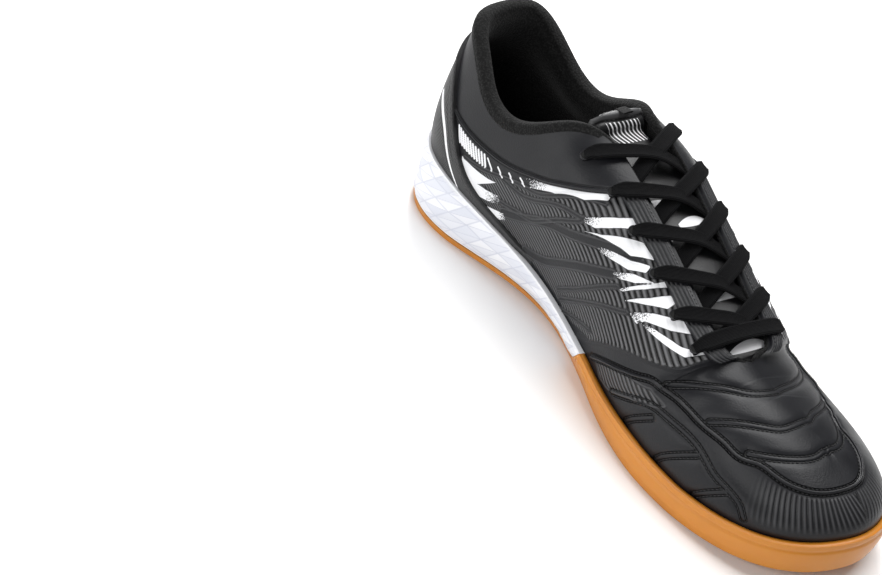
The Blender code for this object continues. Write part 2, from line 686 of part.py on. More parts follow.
def tongue_net():
    """Rows of the crown over which the tongue lies, from under the vamp to its free top."""
    folds = np.linspace(*TONGUE_FOLDS, 12)
    width = TONGUE_HALF_WIDTH * (0.72 + 0.28 * ease(folds, TONGUE_FOLDS[0], 9))
    rows = [crown_line(f, w) for f, w in zip(folds, width, strict=True)]
    climb = unit(np.array(TONGUE_CLIMB))
    across = np.linspace(-1, 1, 11)[:, None]
    for share, narrow in ((0.35, 0.92), (0.7, 0.86), (0.9, 0.80), (1.0, 0.72)):
        centre = rows[11][5] + climb * TONGUE_RISE * share
        swept = np.array([-TONGUE_SWEEP, 0, 0]) * share * across**2
        rows.append(centre + (rows[11] - rows[11][5]) * narrow + swept)
    return np.array(rows)


def net_normals(net):
    rows, columns = net.shape[:2]
    faces = np.array(strip_net(rows, columns))
    normal = point_normals(net.reshape(-1, 3), faces).reshape(net.shape)
    return normal * np.where(normal[..., 2:] < 0, -1, 1)


def build_tongue():
    net = tongue_net()
    normal = net_normals(net)
    folds = np.minimum(np.arange(len(net)) / 11, 1) * (TONGUE_FOLDS[1] - TONGUE_FOLDS[0]) + TONGUE_FOLDS[0]
    depth = WALL + COLLAR_PAD * np.clip(fold_values(folds + 1)["pad"], 0, 1) + TONGUE_CLEARANCE
    depth += TONGUE_CLEARANCE * 0.6 * ease(folds, 11, 13)
    top = net - normal * depth[:, None, None]
    slab("tongue", top - normal * TONGUE_THICKNESS, top, "black_leather")


def build_insole():
    """Sock liner on the foot bed, inside the upper's tucked edge."""
    place = fold_values(ring_places())["edge"]
    inset = RIM + 0.0011 + GAP + WALL + INSOLE_CLEARANCE
    low = level_ring(EDGE_OUTLINE, place, inset, lambda x: seat_height(x) + GAP)
    high = low + (0, 0, INSOLE_THICKNESS)
    low_spine, high_spine = spine_row(low, 0.05), spine_row(high, 0.05)
    low_spine[:, 2] = seat_height(low_spine[:, 0]) + GAP
    high_spine[:, 2] = low_spine[:, 2] + INSOLE_THICKNESS
    rows = [low_spine, low, high, high_spine]
    count = len(place)

    def number(row, at):
        if row in (0, 3):
            at = min(at, count - at)
        return row * count + at

    add_object("insole", np.vstack(rows), ring_net(rows, number), "black_textile")


def lace_run(number, ends, climbs, normals, lift):
    """One flat run of lace between two eyelets, over the tongue, as points and faces."""
    t = np.linspace(0, 1, 10)[:, None]
    reach = np.linalg.norm(ends[1] - ends[0]) * LACE_REACH
    low, high = ends[0] + climbs[0] * reach, ends[1] + climbs[1] * reach
    centre = (1 - t) ** 3 * ends[0] + 3 * t * (1 - t) ** 2 * low + 3 * t * t * (1 - t) * high + t**3 * ends[1]
    centre[:, 2:] += 4 * t * (1 - t) * lift
    along = unit(np.gradient(centre, axis=0))
    lean = normals[0] * (1 - t) + normals[1] * t + np.array([0, 0, 2.0]) * t * (1 - t)
    across = unit(np.cross(lean, along))
    up = np.cross(along, across)
    section = ((-0.5, 0), (-0.36, 0.5), (0.36, 0.5), (0.5, 0), (0.36, -0.5), (-0.36, -0.5))
    points, faces = [], []
    for c, a, u in zip(centre, across, up, strict=True):
        points += [c + a * w * LACE_WIDTH + u * h * LACE_THICKNESS for w, h in section]
    sides, rows = len(section), len(t)
    for row in range(rows - 1):
        for i in range(sides):
            a, b = row * sides + i, row * sides + (i + 1) % sides
            faces.append([a, b, b + sides, a + sides])
    faces += [list(range(sides)), [(rows - 1) * sides + i for i in range(sides)]]
    return f"lace_run_{number}", points, faces


def build_lace():
    """Crossings and the bottom bar, joined where they cross and at the eyelets."""
    places, rises = eyelet_places()
    normal = surface_normal(places, rises)
    seat = surface(places, rises) + normal * (OVERLAY + 4 * GAP + LACE_THICKNESS / 2)
    climb = unit(surface(places, rises + 0.02) - surface(places, rises - 0.02))
    rows = len(EYELET_FOLDS)
    ends = [((row, side), (row + 1, 1 - side)) for row in range(rows - 1) for side in (0, 1)]
    ends.append(((rows - 1, 0), (rows - 1, 1)))
    made = None
    for number, (start, end) in enumerate(ends):
        pair = [(found[start], found[end]) for found in (seat, climb, normal)]
        run = lace_run(number, *pair, LACE_LIFT)
        if made is None:
            made = add_object("lace", *run[1:], "black_cord")
        else:
            cut(made, add_object(*run), "UNION")


def centre_on_floor():
    """Moves every mesh so that the origin is on the floor under the middle of the shoe."""
    graph = bpy.context.evaluated_depsgraph_get()
    solids = [o for o in bpy.context.scene.objects if not o.hide_render]
    corners = [o.matrix_world @ v.co for o in solids for v in o.evaluated_get(graph).data.vertices]
    low = [min(c[i] for c in corners) for i in range(3)]
    high = [max(c[i] for c in corners) for i in range(3)]
    for made in bpy.context.scene.objects:
        for vertex in made.data.vertices:
            vertex.co.x -= (low[0] + high[0]) / 2
            vertex.co.y -= (low[1] + high[1]) / 2
            vertex.co.z -= low[2]


def main():
    for old in list(bpy.data.objects):
        bpy.data.objects.remove(old)
    build_sole()
    build_insole()
    upper = build_upper()
    build_counter()
    eyestays = build_eyestays()
    cut_eyelets([upper, *eyestays])
    build_tongue()
    build_lace()
    bpy.context.view_layer.update()
    centre_on_floor()


main()
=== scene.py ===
"""Looks of the indoor soccer shoe, dressed over its solids.

Metres, in the frame's own axes: +X to the toe, +Y to the lateral side, +Z up, with the floor at 0. The upper
is read at a fold, a place on the ring round the last, and at a rise, from the sole's edge (0) to the top (1).
Fold 0 is the toe tip, medial folds run to the heel at 20, and lateral folds run on from there to 40.
"""

from collections import namedtuple

import bpy
import numpy as np
from mathutils import Matrix, Vector


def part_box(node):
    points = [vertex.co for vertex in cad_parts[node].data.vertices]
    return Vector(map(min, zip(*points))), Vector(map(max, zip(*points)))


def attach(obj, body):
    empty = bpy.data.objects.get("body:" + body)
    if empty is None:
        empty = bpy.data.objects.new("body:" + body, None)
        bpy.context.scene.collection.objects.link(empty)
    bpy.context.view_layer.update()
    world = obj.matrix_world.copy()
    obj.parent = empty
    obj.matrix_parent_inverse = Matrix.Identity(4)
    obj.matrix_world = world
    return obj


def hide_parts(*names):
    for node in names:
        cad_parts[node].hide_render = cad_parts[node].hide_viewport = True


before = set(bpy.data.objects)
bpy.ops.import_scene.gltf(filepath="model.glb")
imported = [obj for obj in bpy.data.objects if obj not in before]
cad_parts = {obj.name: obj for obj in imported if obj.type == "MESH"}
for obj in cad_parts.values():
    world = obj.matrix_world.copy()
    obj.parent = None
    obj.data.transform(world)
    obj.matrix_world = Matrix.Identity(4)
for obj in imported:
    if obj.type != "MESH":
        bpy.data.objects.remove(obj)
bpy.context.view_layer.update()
MM = 0.001
SPARSE = 1

# Sizes of the shoe, the same as in its solids
SOLE_LENGTH = 0.290
BALL_WIDTH = 0.104
HEEL_STACK = 0.033
TOE_SPRING = 0.011
ARCH_LIFT = 0.0025
FLAT_SPOT = 0.06
CUP_DEPTH = 0.010
COLLAR_HEIGHT = 0.100
LACE_TURN = 0.12
RIM = 0.0024
WALL = 0.0019
COLLAR_PAD = 0.0055
GAP = 0.0003
GUM_SHEET = 0.0032
INSOLE_THICKNESS = 0.0040
INSOLE_CLEARANCE = 0.0012
OVERLAY = 0.0011
EYESTAY_WIDTH = 0.0095
TONGUE_THICKNESS = 0.0042
TONGUE_HALF_WIDTH = 0.0240
TONGUE_RISE = 0.0120
TONGUE_CLIMB = (-0.42, 0.0, 0.91)
TONGUE_SWEEP = 0.005
TONGUE_CLEARANCE = 0.0014
EYELET_INSET = 0.0128
EYELET_RADIUS = 0.0019
LACE_WIDTH = 0.0078
LACE_THICKNESS = 0.0019

# Distance of the two rows of stitches from a seam, in millimetres
SEAM_APART = 1.35

# Outline of the sole: shares of the length from the heel, and of the ball width out from the middle line.
Outline = namedtuple("Outline", "station tread_medial tread_lateral edge_medial edge_lateral")
OUTLINE = [
    Outline(1.000, 0.048, -0.048, 0.048, -0.048),
    Outline(0.986, 0.212, 0.110, 0.212, 0.115),
    Outline(0.955, 0.335, 0.228, 0.338, 0.232),
    Outline(0.903, 0.430, 0.336, 0.433, 0.341),
    Outline(0.828, 0.488, 0.428, 0.492, 0.434),
    Outline(0.741, 0.508, 0.486, 0.512, 0.492),
    Outline(0.662, 0.488, 0.496, 0.496, 0.502),
    Outline(0.579, 0.418, 0.470, 0.450, 0.486),
    Outline(0.500, 0.322, 0.408, 0.382, 0.446),
    Outline(0.414, 0.244, 0.340, 0.330, 0.396),
    Outline(0.328, 0.232, 0.306, 0.310, 0.364),
    Outline(0.241, 0.268, 0.312, 0.315, 0.350),
    Outline(0.155, 0.316, 0.334, 0.328, 0.346),
    Outline(0.083, 0.306, 0.317, 0.304, 0.315),
    Outline(0.030, 0.220, 0.230, 0.218, 0.228),
    Outline(0.005, 0.098, 0.104, 0.097, 0.103),
    Outline(0.000, 0.000, 0.000, 0.000, 0.000),
]

# Side view of the sole: the tread's rise in shares of toe spring and arch lift, the wall in shares of the
# heel stack, and how far the foot bed lies under the wall's edge, in shares of the cup's depth.
Level = namedtuple("Level", "station spring arch wall cup")
LEVELS = [
    Level(0.00, 0.36, 0.0, 0.91, 1.00),
    Level(0.06, 0.06, 0.0, 0.94, 1.00),
    Level(0.14, 0.00, 0.0, 0.91, 1.00),
    Level(0.25, 0.00, 0.7, 0.76, 0.95),
    Level(0.36, 0.00, 1.0, 0.64, 0.85),
    Level(0.46, 0.00, 0.2, 0.56, 0.75),
    Level(0.56, 0.00, 0.0, 0.49, 0.66),
    Level(0.68, 0.00, 0.0, 0.45, 0.60),
    Level(0.78, 0.07, 0.0, 0.44, 0.58),
    Level(0.88, 0.34, 0.0, 0.45, 0.58),
    Level(0.95, 0.68, 0.0, 0.47, 0.58),
    Level(1.00, 1.00, 0.0, 0.49, 0.58),
]

# The gum wall rises between these stations from a thin sheet under the white midsole to the whole wall.
GUM_RISE_START = 0.460
GUM_RISE_END = 0.555

# Folds of the upper from the toe tip to the heel: share of the sole's edge where the fold starts, its top
# point in shares of the sole length, ball width and collar height, the end angle and its tilt to the lateral
# side, the start angles of both sides, the Bezier reaches in shares of the chord, how far the fold follows
# the instep's slope, and the share of the collar pad. Angles are in degrees.
Fold = namedtuple("Fold", "edge x medial lateral z end tilt lean lean_lateral reach_low reach_high crown pad")
FOLDS = [
    Fold(0.000, 0.876, 0.055, -0.055, 0.470, 0, 0, 14, 14, 0.30, 0.42, 1.0, 0.0),
    Fold(0.060, 0.868, 0.055, -0.055, 0.478, 0, 3, 14, 4, 0.30, 0.42, 1.0, 0.0),
    Fold(0.125, 0.850, 0.060, -0.060, 0.492, 0, 7, 13, -8, 0.31, 0.43, 1.0, 0.0),
    Fold(0.190, 0.822, 0.071, -0.071, 0.513, 0, 10, 12, -18, 0.33, 0.43, 1.0, 0.0),
    Fold(0.250, 0.790, 0.082, -0.082, 0.536, 0, 12, 10, -26, 0.35, 0.42, 1.0, 0.0),
    Fold(0.305, 0.757, 0.093, -0.093, 0.562, 0, 12, 9, -30, 0.36, 0.41, 1.0, 0.0),
    Fold(0.345, 0.730, 0.101, -0.101, 0.583, 0, 11, 8, -30, 0.37, 0.40, 1.0, 0.0),
    Fold(0.372, 0.721, 0.155, -0.040, 0.592, 6, 9, 8, -28, 0.37, 0.40, 1.0, 0.0),
    Fold(0.400, 0.704, 0.191, 0.018, 0.610, 8, 7, 7, -24, 0.38, 0.41, 0.8, 0.0),
    Fold(0.450, 0.645, 0.183, 0.058, 0.665, 10, 4, 6, -16, 0.38, 0.42, 0.6, 0.0),
    Fold(0.505, 0.561, 0.154, 0.090, 0.760, 11, 2, 5, -9, 0.38, 0.42, 0.4, 0.0),
    Fold(0.560, 0.477, 0.129, 0.122, 0.850, 12, 0, 5, -4, 0.38, 0.42, 0.2, 0.0),
    Fold(0.610, 0.407, 0.111, 0.152, 0.915, 14, 0, 5, 0, 0.37, 0.42, 0.1, 0.1),
    Fold(0.655, 0.345, 0.118, 0.168, 0.955, 24, 0, 5, 3, 0.36, 0.41, 0.0, 0.4),
    Fold(0.700, 0.297, 0.190, 0.222, 0.940, 56, 0, 6, 5, 0.35, 0.37, 0.0, 0.8),
    Fold(0.750, 0.248, 0.250, 0.258, 0.838, 74, 0, 7, 7, 0.35, 0.34, 0.0, 1.0),
    Fold(0.800, 0.193, 0.272, 0.278, 0.758, 82, 0, 8, 8, 0.35, 0.34, 0.0, 1.0),
    Fold(0.850, 0.136, 0.266, 0.272, 0.790, 84, 0, 9, 9, 0.35, 0.34, 0.0, 1.0),
    Fold(0.900, 0.086, 0.232, 0.240, 0.900, 86, 0, 10, 10, 0.35, 0.34, 0.0, 1.0),
    Fold(0.950, 0.040, 0.165, 0.170, 0.985, 88, 0, 11, 11, 0.36, 0.34, 0.0, 1.0),
    Fold(1.000, 0.024, 0.000, 0.000, 0.995, 90, 0, 12, 12, 0.37, 0.34, 0.0, 1.0),
]
HEEL_FOLD = len(FOLDS) - 1
RING = 2 * HEEL_FOLD
THROAT_FOLD = 6
TURN_FADE = (12.0, 15.0)
PAD_START = 0.45
CAD_STEPS = 2
CAD_RISES = (0.0, 0.10, 0.22, 0.36, 0.50, 0.64, 0.77, 0.89, 1.0)

# Tread lines: shares of the length, and of the ball width towards the lateral side.
CHEVRON = ((0.555, -0.50), (0.745, -0.03), (0.575, 0.54))
SHANK_FRONT = ((0.440, -0.29), (0.408, -0.19), (0.437, 0.00), (0.390, 0.24), (0.400, 0.36))
SHANK_REAR = ((0.186, -0.30), (0.222, -0.15), (0.278, 0.00), (0.240, 0.10), (0.219, 0.19), (0.211, 0.31))
SHANK_MARK = ((0.383, 0.01), (0.317, -0.13), (0.317, 0.13))
# Folds and rises of the overlays and the lace
COUNTER_EDGE = (
    (13.0, 0.04), (14.5, 0.07), (15.5, 0.12), (16.2, 0.22), (17.2, 0.45), (18.0, 0.585), (19.0, 0.75),
    (20.0, 0.85),
)
EYESTAY_FOLDS = (7.0, 11.5)
EYELET_FOLDS = (12.9, 11.7, 10.75, 9.9, 9.1, 8.25)
TONGUE_FOLDS = (4.6, 13.0)

# Places of the printed and moulded lines on the upper, as pairs of fold and rise. Many were picked as pixels in
# the photograph and converted by a program through the fitted camera. A negative fold is on the lateral side.
# What has no lateral line of its own is mirrored.
COLLAR_SEAM = ((18.0, 0.52), (17.43, 0.536), (16.43, 0.608), (15.62, 0.609), (14.84, 0.579), (14.05, 0.577),
               (13.2, 0.597), (12.55, 0.655), (12.08, 0.743), (11.74, 0.837), (11.5, 0.93))
VEINS = (
    ((16.48, 0.354), (15.17, 0.456), (14.07, 0.472), (12.98, 0.53), (11.6, 0.767)),
    ((15.17, 0.456), (14.35, 0.402), (13.35, 0.444), (11.98, 0.56), (11.79, 0.588)),
    ((15.68, 0.228), (14.76, 0.234), (13.9, 0.269), (13.17, 0.318), (12.0, 0.516), (11.79, 0.588)),
    ((11.71, 0.085), (10.86, 0.289), (10.12, 0.547)),
    ((11.53, 0.052), (10.85, 0.197), (9.9, 0.429), (9.59, 0.523)),
    ((11.4, 0.0), (10.56, 0.11), (10.12, 0.161)),
)
BROAD_VEINS = (
    ((14.56, 0.17), (13.17, 0.318), (12.03, 0.426), (11.05, 0.588), (10.27, 0.773)),
    ((13.4, 0.06), (12.6, 0.12), (11.75, 0.26), (10.88, 0.435), (10.37, 0.563)),
)
RIB_AREA = ((16.5, 0.30), (15.6, 0.40), (15.17, 0.456), (14.07, 0.472), (12.98, 0.53), (12.3, 0.62),
            (11.7, 0.76), (11.4, 0.98), (7.7, 0.98), (7.69, 0.682), (7.92, 0.587), (8.9, 0.392),
            (10.0, 0.117), (10.9, 0.02), (13.2, 0.02), (14.6, 0.06), (15.7, 0.10), (16.2, 0.19))
RIB_EDGE = ((10.6, 0.0), (10.0, 0.117), (8.9, 0.392), (7.92, 0.587), (7.69, 0.682), (7.66, 0.943))

# White print: its outline, and the folds between which it dissolves into speckles
Print = namedtuple("Print", "outline fade")
PRINTS = (
    Print(((14.5, 0.56), (12.98, 0.62), (12.3, 0.72), (11.70, 0.86), (11.61, 0.784), (12.06, 0.662),
          (12.97, 0.544), (14.06, 0.486)), (14.4, 13.2)),
    Print(((16.6, 0.33), (15.47, 0.351), (15.19, 0.368), (15.71, 0.223), (14.90, 0.264), (14.74, 0.204),
           (15.20, 0.143), (15.66, 0.098), (16.3, 0.17)), (14.7, 15.4)),
    Print(((15.5, 0.04), (15.1, 0.10), (14.53, 0.158), (14.40, 0.119), (14.9, 0.03)), (14.35, 14.8)),
    Print(((14.7, 0.0), (14.3, 0.045), (13.96, 0.055), (13.7, 0.02), (14.0, 0.0)), (13.65, 14.1)),
    Print(((11.83, 0.580), (11.45, 0.684), (11.14, 0.792), (10.96, 0.875), (10.78, 0.93), (10.82, 0.825),
           (11.12, 0.701), (11.37, 0.619), (11.66, 0.580)), (11.9, 11.3)),
    Print(((11.60, 0.534), (11.13, 0.636), (10.48, 0.848), (10.12, 0.858), (10.40, 0.735), (10.63, 0.705),
           (11.09, 0.627)), None),
    Print(((11.06, 0.563), (10.71, 0.641), (10.31, 0.723), (10.05, 0.821), (9.99, 0.770), (10.22, 0.674),
           (10.58, 0.611), (10.90, 0.563)), (11.1, 10.5)),
    Print(((10.40, 0.566), (10.10, 0.691), (9.86, 0.759), (9.74, 0.798), (9.94, 0.672), (10.20, 0.588)),
          (10.45, 10.05)),
    Print(((10.06, 0.547), (9.91, 0.651), (9.76, 0.771), (9.70, 0.892), (9.65, 0.938), (9.52, 0.968),
          (9.59, 0.872), (9.74, 0.716), (9.96, 0.568)), (10.1, 9.9)),
    Print(((9.81, 0.541), (9.56, 0.717), (9.46, 0.849), (9.31, 0.857), (9.26, 0.789), (9.50, 0.667)), None),
    Print(((9.55, 0.536), (9.28, 0.692), (8.99, 0.825), (8.80, 0.926), (8.57, 0.93), (8.57, 0.889),
          (8.85, 0.737), (9.23, 0.612), (9.28, 0.549)), (9.6, 9.2)),
    Print(((9.28, 0.572), (9.02, 0.641), (8.69, 0.700), (8.43, 0.736), (7.97, 0.877), (8.12, 0.712),
          (8.74, 0.635)), (9.3, 8.85)),
)
DASHES = (
    ((15.88, 0.547), (15.51, 0.454)), ((15.43, 0.525), (15.10, 0.451)), ((15.0, 0.521), (14.69, 0.457)),
    ((14.57, 0.521), (14.26, 0.475)),
)
HATCH_TOP = ((17.3, 0.50), (15.98, 0.56))
HATCH_BOTTOM = ((16.95, 0.405), (15.72, 0.45))
HATCH_BARS = 11
COUNTER_LINE = ((18.52, 0.415), (17.76, 0.362), (17.28, 0.282), (16.74, 0.138), (16.24, 0.017))

# Stitched seams of the vamp. Each has its own line on the medial and on the lateral side.
VAMP_EDGE = ((9.72, 0.058), (8.86, 0.233), (8.17, 0.37), (7.62, 0.431), (6.34, 0.424), (5.29, 0.436),
             (4.65, 0.448), (4.01, 0.466), (3.43, 0.466), (2.93, 0.513), (2.34, 0.509), (1.75, 0.516),
             (1.11, 0.55), (0.19, 0.595), (-0.64, 0.589), (-1.28, 0.602), (-1.88, 0.613), (-2.51, 0.645),
             (-3.07, 0.647), (-4.0, 0.565), (-5.0, 0.48), (-6.3, 0.43), (-7.62, 0.42), (-8.3, 0.34),
             (-8.9, 0.22), (-9.7, 0.058))
ARCHES = (
    ((7.21, 0.474), (5.94, 0.578), (5.13, 0.717), (4.57, 0.837), (4.29, 0.966), (4.26, 1.0)),
    ((4.68, 0.486), (4.13, 0.606), (3.35, 0.74), (2.93, 0.834), (2.56, 0.993)),
    ((3.34, 0.518), (2.71, 0.613), (2.13, 0.709), (1.55, 0.805), (0.9, 0.90), (0.0, 0.935)),
    ((-7.1, 0.46), (-6.1, 0.50), (-5.2, 0.544), (-4.57, 0.875), (-4.26, 1.0)),
    ((-4.4, 0.53), (-3.99, 0.574), (-3.32, 0.821), (-2.8, 0.93), (-2.56, 1.0)),
    ((-3.2, 0.64), (-2.4, 0.709), (-1.5, 0.82), (-0.71, 0.917), (0.0, 0.935)),
)
TOE_SEAMS = (
    ((8.57, 0.068), (7.33, 0.254), (5.99, 0.294), (5.13, 0.322), (4.38, 0.325), (3.79, 0.268), (3.39, 0.241),
     (3.11, 0.217), (2.88, 0.173), (2.71, 0.076)),
    ((7.5, 0.01), (7.08, 0.095), (6.19, 0.22)),
    ((5.2, 0.01), (4.92, 0.118), (4.3, 0.289)),
    ((3.9, 0.01), (3.63, 0.111), (3.23, 0.225)),
)
LEAF = ((9.53, 0.083), (8.68, 0.272), (7.53, 0.377), (6.08, 0.341), (6.26, 0.307), (7.94, 0.185),
        (8.65, 0.054), (9.2, 0.032), (9.53, 0.083))
CREASES = (((5.2, 0.45), (4.9, 0.75), (4.8, 1.0)), ((6.4, 0.45), (6.1, 0.75), (5.8, 1.0)))

# Camera, fitted to the photograph
CAMERA_TARGET = (-0.05603, -0.07443, 0.02075)
CAMERA_DISTANCE = 0.9943
CAMERA_AZIMUTH = 40.663
CAMERA_ELEVATION = 39.432
CAMERA_ROLL = -17.353
CAMERA_LENS = 92.486


def spline(knots, values, at):
    """Natural cubic spline through values, a row for each knot."""
    knots, at = np.asarray(knots, float), np.asarray(at, float)
    rows = np.asarray(values, float).reshape(len(knots), -1)
    step = np.diff(knots)
    slope = np.diff(rows, axis=0) / step[:, None]
    system, right = np.eye(len(knots)), np.zeros_like(rows)
    for i in range(1, len(knots) - 1):
        system[i, i - 1 : i + 2] = step[i - 1], 2 * (step[i - 1] + step[i]), step[i]
        right[i] = 6 * (slope[i] - slope[i - 1])
    bend = np.linalg.solve(system, right)
    at = np.clip(at, knots[0], knots[-1])
    i = np.clip(np.searchsorted(knots, at, side="right") - 1, 0, len(knots) - 2)
    width = step[i][..., None]
    before = (knots[i + 1] - at)[..., None] / width
    after = 1 - before
    found = before * rows[i] + after * rows[i + 1]
    found += ((before**3 - before) * bend[i] + (after**3 - after) * bend[i + 1]) * width**2 / 6
    return found.reshape(at.shape + np.shape(values)[1:])


def closed_spline(values, at):
    """Smooth closed curve through values, one for each whole number, read at any numbers."""
    count, wrap = len(values), 5
    index = np.arange(-wrap, count + wrap + 1)
    return spline(index, np.asarray(values, float)[index % count], np.mod(at, count))


def unit(vectors):
    return vectors / np.maximum(np.linalg.norm(vectors, axis=-1, keepdims=True), 1e-12)


def run_along(path):
    """Distance from the start to each point of a path."""
    return np.concatenate([[0], np.cumsum(np.linalg.norm(np.diff(path, axis=0), axis=1))])


def bezier(start, low, high, end, t):
    """Points of a cubic curve."""
    return (1 - t) ** 3 * start + 3 * t * (1 - t) ** 2 * low + 3 * t * t * (1 - t) * high + t**3 * end


def lifted(flat, height):
    """Points or vectors of x and y with a height added."""
    return np.concatenate([flat, height[..., None]], axis=-1)


def ease(value, start, end):
    """0 before start, 1 after end, and smooth between them."""
    share = np.clip((np.asarray(value, float) - start) / (end - start), 0, 1)
    return share * share * (3 - 2 * share)


def ring_of(medial, lateral):
    """Values of the medial rows from toe to heel, then of the lateral rows back to the toe."""
    return list(medial) + list(lateral)[-2:0:-1]


def outline_table(medial_name, lateral_name, samples=60):
    """Dense points of a closed outline with their place on the ring: 0 at the toe tip, 1 at the heel."""
    x = ring_of([r.station for r in OUTLINE], [r.station for r in OUTLINE])
    y = ring_of([-getattr(r, medial_name) for r in OUTLINE], [getattr(r, lateral_name) for r in OUTLINE])
    at = np.arange(len(x) * samples + 1) / samples
    points = closed_spline(np.column_stack([np.multiply(x, SOLE_LENGTH), np.multiply(y, BALL_WIDTH)]), at)
    run = run_along(points)
    heel = samples * (len(OUTLINE) - 1)
    place = np.where(run <= run[heel], run / run[heel], 1 + (run - run[heel]) / (run[-1] - run[heel]))
    return place, points


TREAD_OUTLINE = outline_table("tread_medial", "tread_lateral")
EDGE_OUTLINE = outline_table("edge_medial", "edge_lateral")


def on_outline(table, place):
    """Points of an outline, x and y, at places on the ring."""
    known, points = table
    place = np.mod(place, 2)
    return np.stack([np.interp(place, known, points[:, i]) for i in (0, 1)], axis=-1)


def inward(table, place, reach=0.004):
    """Level unit vectors into the shoe, square to an outline."""
    along = unit(on_outline(table, place + reach) - on_outline(table, place - reach))
    return np.stack([along[..., 1], -along[..., 0]], axis=-1)


def level(name, x):
    station = [row.station for row in LEVELS]
    return spline(station, [getattr(row, name) for row in LEVELS], x / SOLE_LENGTH)


def tread_height(x):
    spring = np.maximum(level("spring", x) - FLAT_SPOT, 0)
    return TOE_SPRING * spring + ARCH_LIFT * np.clip(level("arch", x) - FLAT_SPOT, 0, 1)


def edge_height(x):
    return tread_height(x) + HEEL_STACK * level("wall", x)


def seat_height(x):
    return edge_height(x) - CUP_DEPTH * level("cup", x)


def gum_height(x):
    """Top of the gum: a thin sheet under the midsole, and above the whole wall in front."""
    rise = ease(x / SOLE_LENGTH, GUM_RISE_START, GUM_RISE_END)
    return tread_height(x) + GUM_SHEET + rise * HEEL_STACK


def fold_values(at):
    """Each column of FOLDS at places on the ring of folds, with the top point's y signed."""
    signed = {
        "y": ring_of([-row.medial for row in FOLDS], [row.lateral for row in FOLDS]),
        "edge": ring_of([row.edge for row in FOLDS], [2 - row.edge for row in FOLDS]),
    }
    trend = np.arange(RING) / HEEL_FOLD
    found = {"edge": closed_spline(signed["edge"] - trend, at) + np.mod(at, RING) / HEEL_FOLD}
    found["y"] = closed_spline(signed["y"], at)
    ends = ring_of([row.end - row.tilt for row in FOLDS], [row.end + row.tilt for row in FOLDS])
    found["end"] = closed_spline(ends, at)
    found["lean"] = closed_spline(ring_of([r.lean for r in FOLDS], [r.lean_lateral for r in FOLDS]), at)
    for name in ("x", "z", "reach_low", "reach_high", "crown", "pad"):
        column = [getattr(row, name) for row in FOLDS]
        found[name] = closed_spline(ring_of(column, column), at)
    return found


def instep_slope(x):
    """Rise per length of the ridge over the toes, towards the toe."""
    ridge = FOLDS[THROAT_FOLD :: -1]
    run = np.array([row.x for row in ridge]) * SOLE_LENGTH
    height = np.array([row.z for row in ridge]) * COLLAR_HEIGHT
    return np.interp(x, run, np.gradient(height, run))


def surface(fold, rise):
    """Outer surface of the upper at places on the ring, and from the sole's edge (0) to the top (1)."""
    fold, rise = np.broadcast_arrays(np.asarray(fold, float), np.asarray(rise, float))
    row = fold_values(fold)
    place = row["edge"]
    into = inward(EDGE_OUTLINE, place)
    foot = on_outline(EDGE_OUTLINE, place) + into * (RIM + GAP)
    start = lifted(foot, edge_height(foot[..., 0]))
    out = row["y"] * BALL_WIDTH
    turned = out * LACE_TURN * (1 - ease(np.minimum(fold % RING, RING - fold % RING), *TURN_FADE))
    top = np.stack([row["x"] * SOLE_LENGTH + turned, out, row["z"] * COLLAR_HEIGHT], axis=-1)
    end, lean = np.radians(row["end"])[..., None], np.radians(row["lean"])[..., None]
    slope = instep_slope(top[..., 0]) * np.clip(row["crown"], 0, 1) * into[..., 0]
    up = np.array([0.0, 0.0, 1.0])
    level_in = lifted(into, 0 * into[..., 0])
    leave = up * np.cos(lean) - level_in * np.sin(lean)
    arrive = unit(level_in * np.cos(end) + up * (np.sin(end) + slope[..., None] * np.cos(end)))
    chord = np.linalg.norm(top - start, axis=-1, keepdims=True)
    low = start + leave * chord * row["reach_low"][..., None]
    high = top - arrive * chord * row["reach_high"][..., None]
    return bezier(start, low, high, top, rise[..., None])


def surface_normal(fold, rise, step=0.02):
    """Unit vectors out of the upper's surface."""
    rise = np.asarray(rise, float)
    along = surface(fold + step, rise) - surface(fold - step, rise)
    low, high = np.clip(rise - step, 0, 1), np.clip(rise + step, 0, 1)
    return unit(np.cross(surface(fold, high) - surface(fold, low), along))


def rise_from_top(fold, distance):
    """The rise at which a fold's surface is this far below its top."""
    rises = np.linspace(0, 1, 60)
    found = []
    for f, d in np.broadcast(fold, distance):
        line = surface(f, rises)[::-1]
        run = run_along(line)
        found.append(1 - np.interp(d, run, rises))
    return np.reshape(found, np.broadcast(fold, distance).shape)


def crown_line(fold, depth, samples=17):
    """Points across the shoe at a fold, over the throat from the medial to the lateral side."""
    rises = np.linspace(0.5, 1, samples)
    medial, lateral = surface(fold, rises), surface(RING - fold, rises)
    reach = np.linalg.norm(lateral[-1] - medial[-1]) * (0.33 - 0.15 * ease(fold, 10, 13))
    t = np.linspace(0, 1, samples)[:, None]
    low = medial[-1] + unit(medial[-1] - medial[-2]) * reach
    high = lateral[-1] + unit(lateral[-1] - lateral[-2]) * reach
    arch = bezier(medial[-1], low, high, lateral[-1], t)
    line = np.vstack([medial, arch[1:-1], lateral[::-1]])
    run = run_along(line)
    centre = run[-1] / 2
    across = np.linspace(-1, 1, 11)
    at = centre + across * depth
    return np.column_stack([np.interp(at, run, line[:, i]) for i in range(3)])


def grid_faces(rows, columns, wrap=False):
    """Faces of a net of points as an array."""
    last = columns if wrap else columns - 1
    row, column = np.meshgrid(np.arange(rows - 1), np.arange(last), indexing="ij")
    after = (column + 1) % columns
    a, b = row * columns + column, row * columns + after
    return np.stack([a, b, b + columns, a + columns], axis=-1).reshape(-1, 4)


def net_normals(net):
    """Unit normals of an open net of points, turned the way its rows and columns cross."""
    down, along = np.gradient(net, axis=0), np.gradient(net, axis=1)
    return unit(np.cross(along, down))


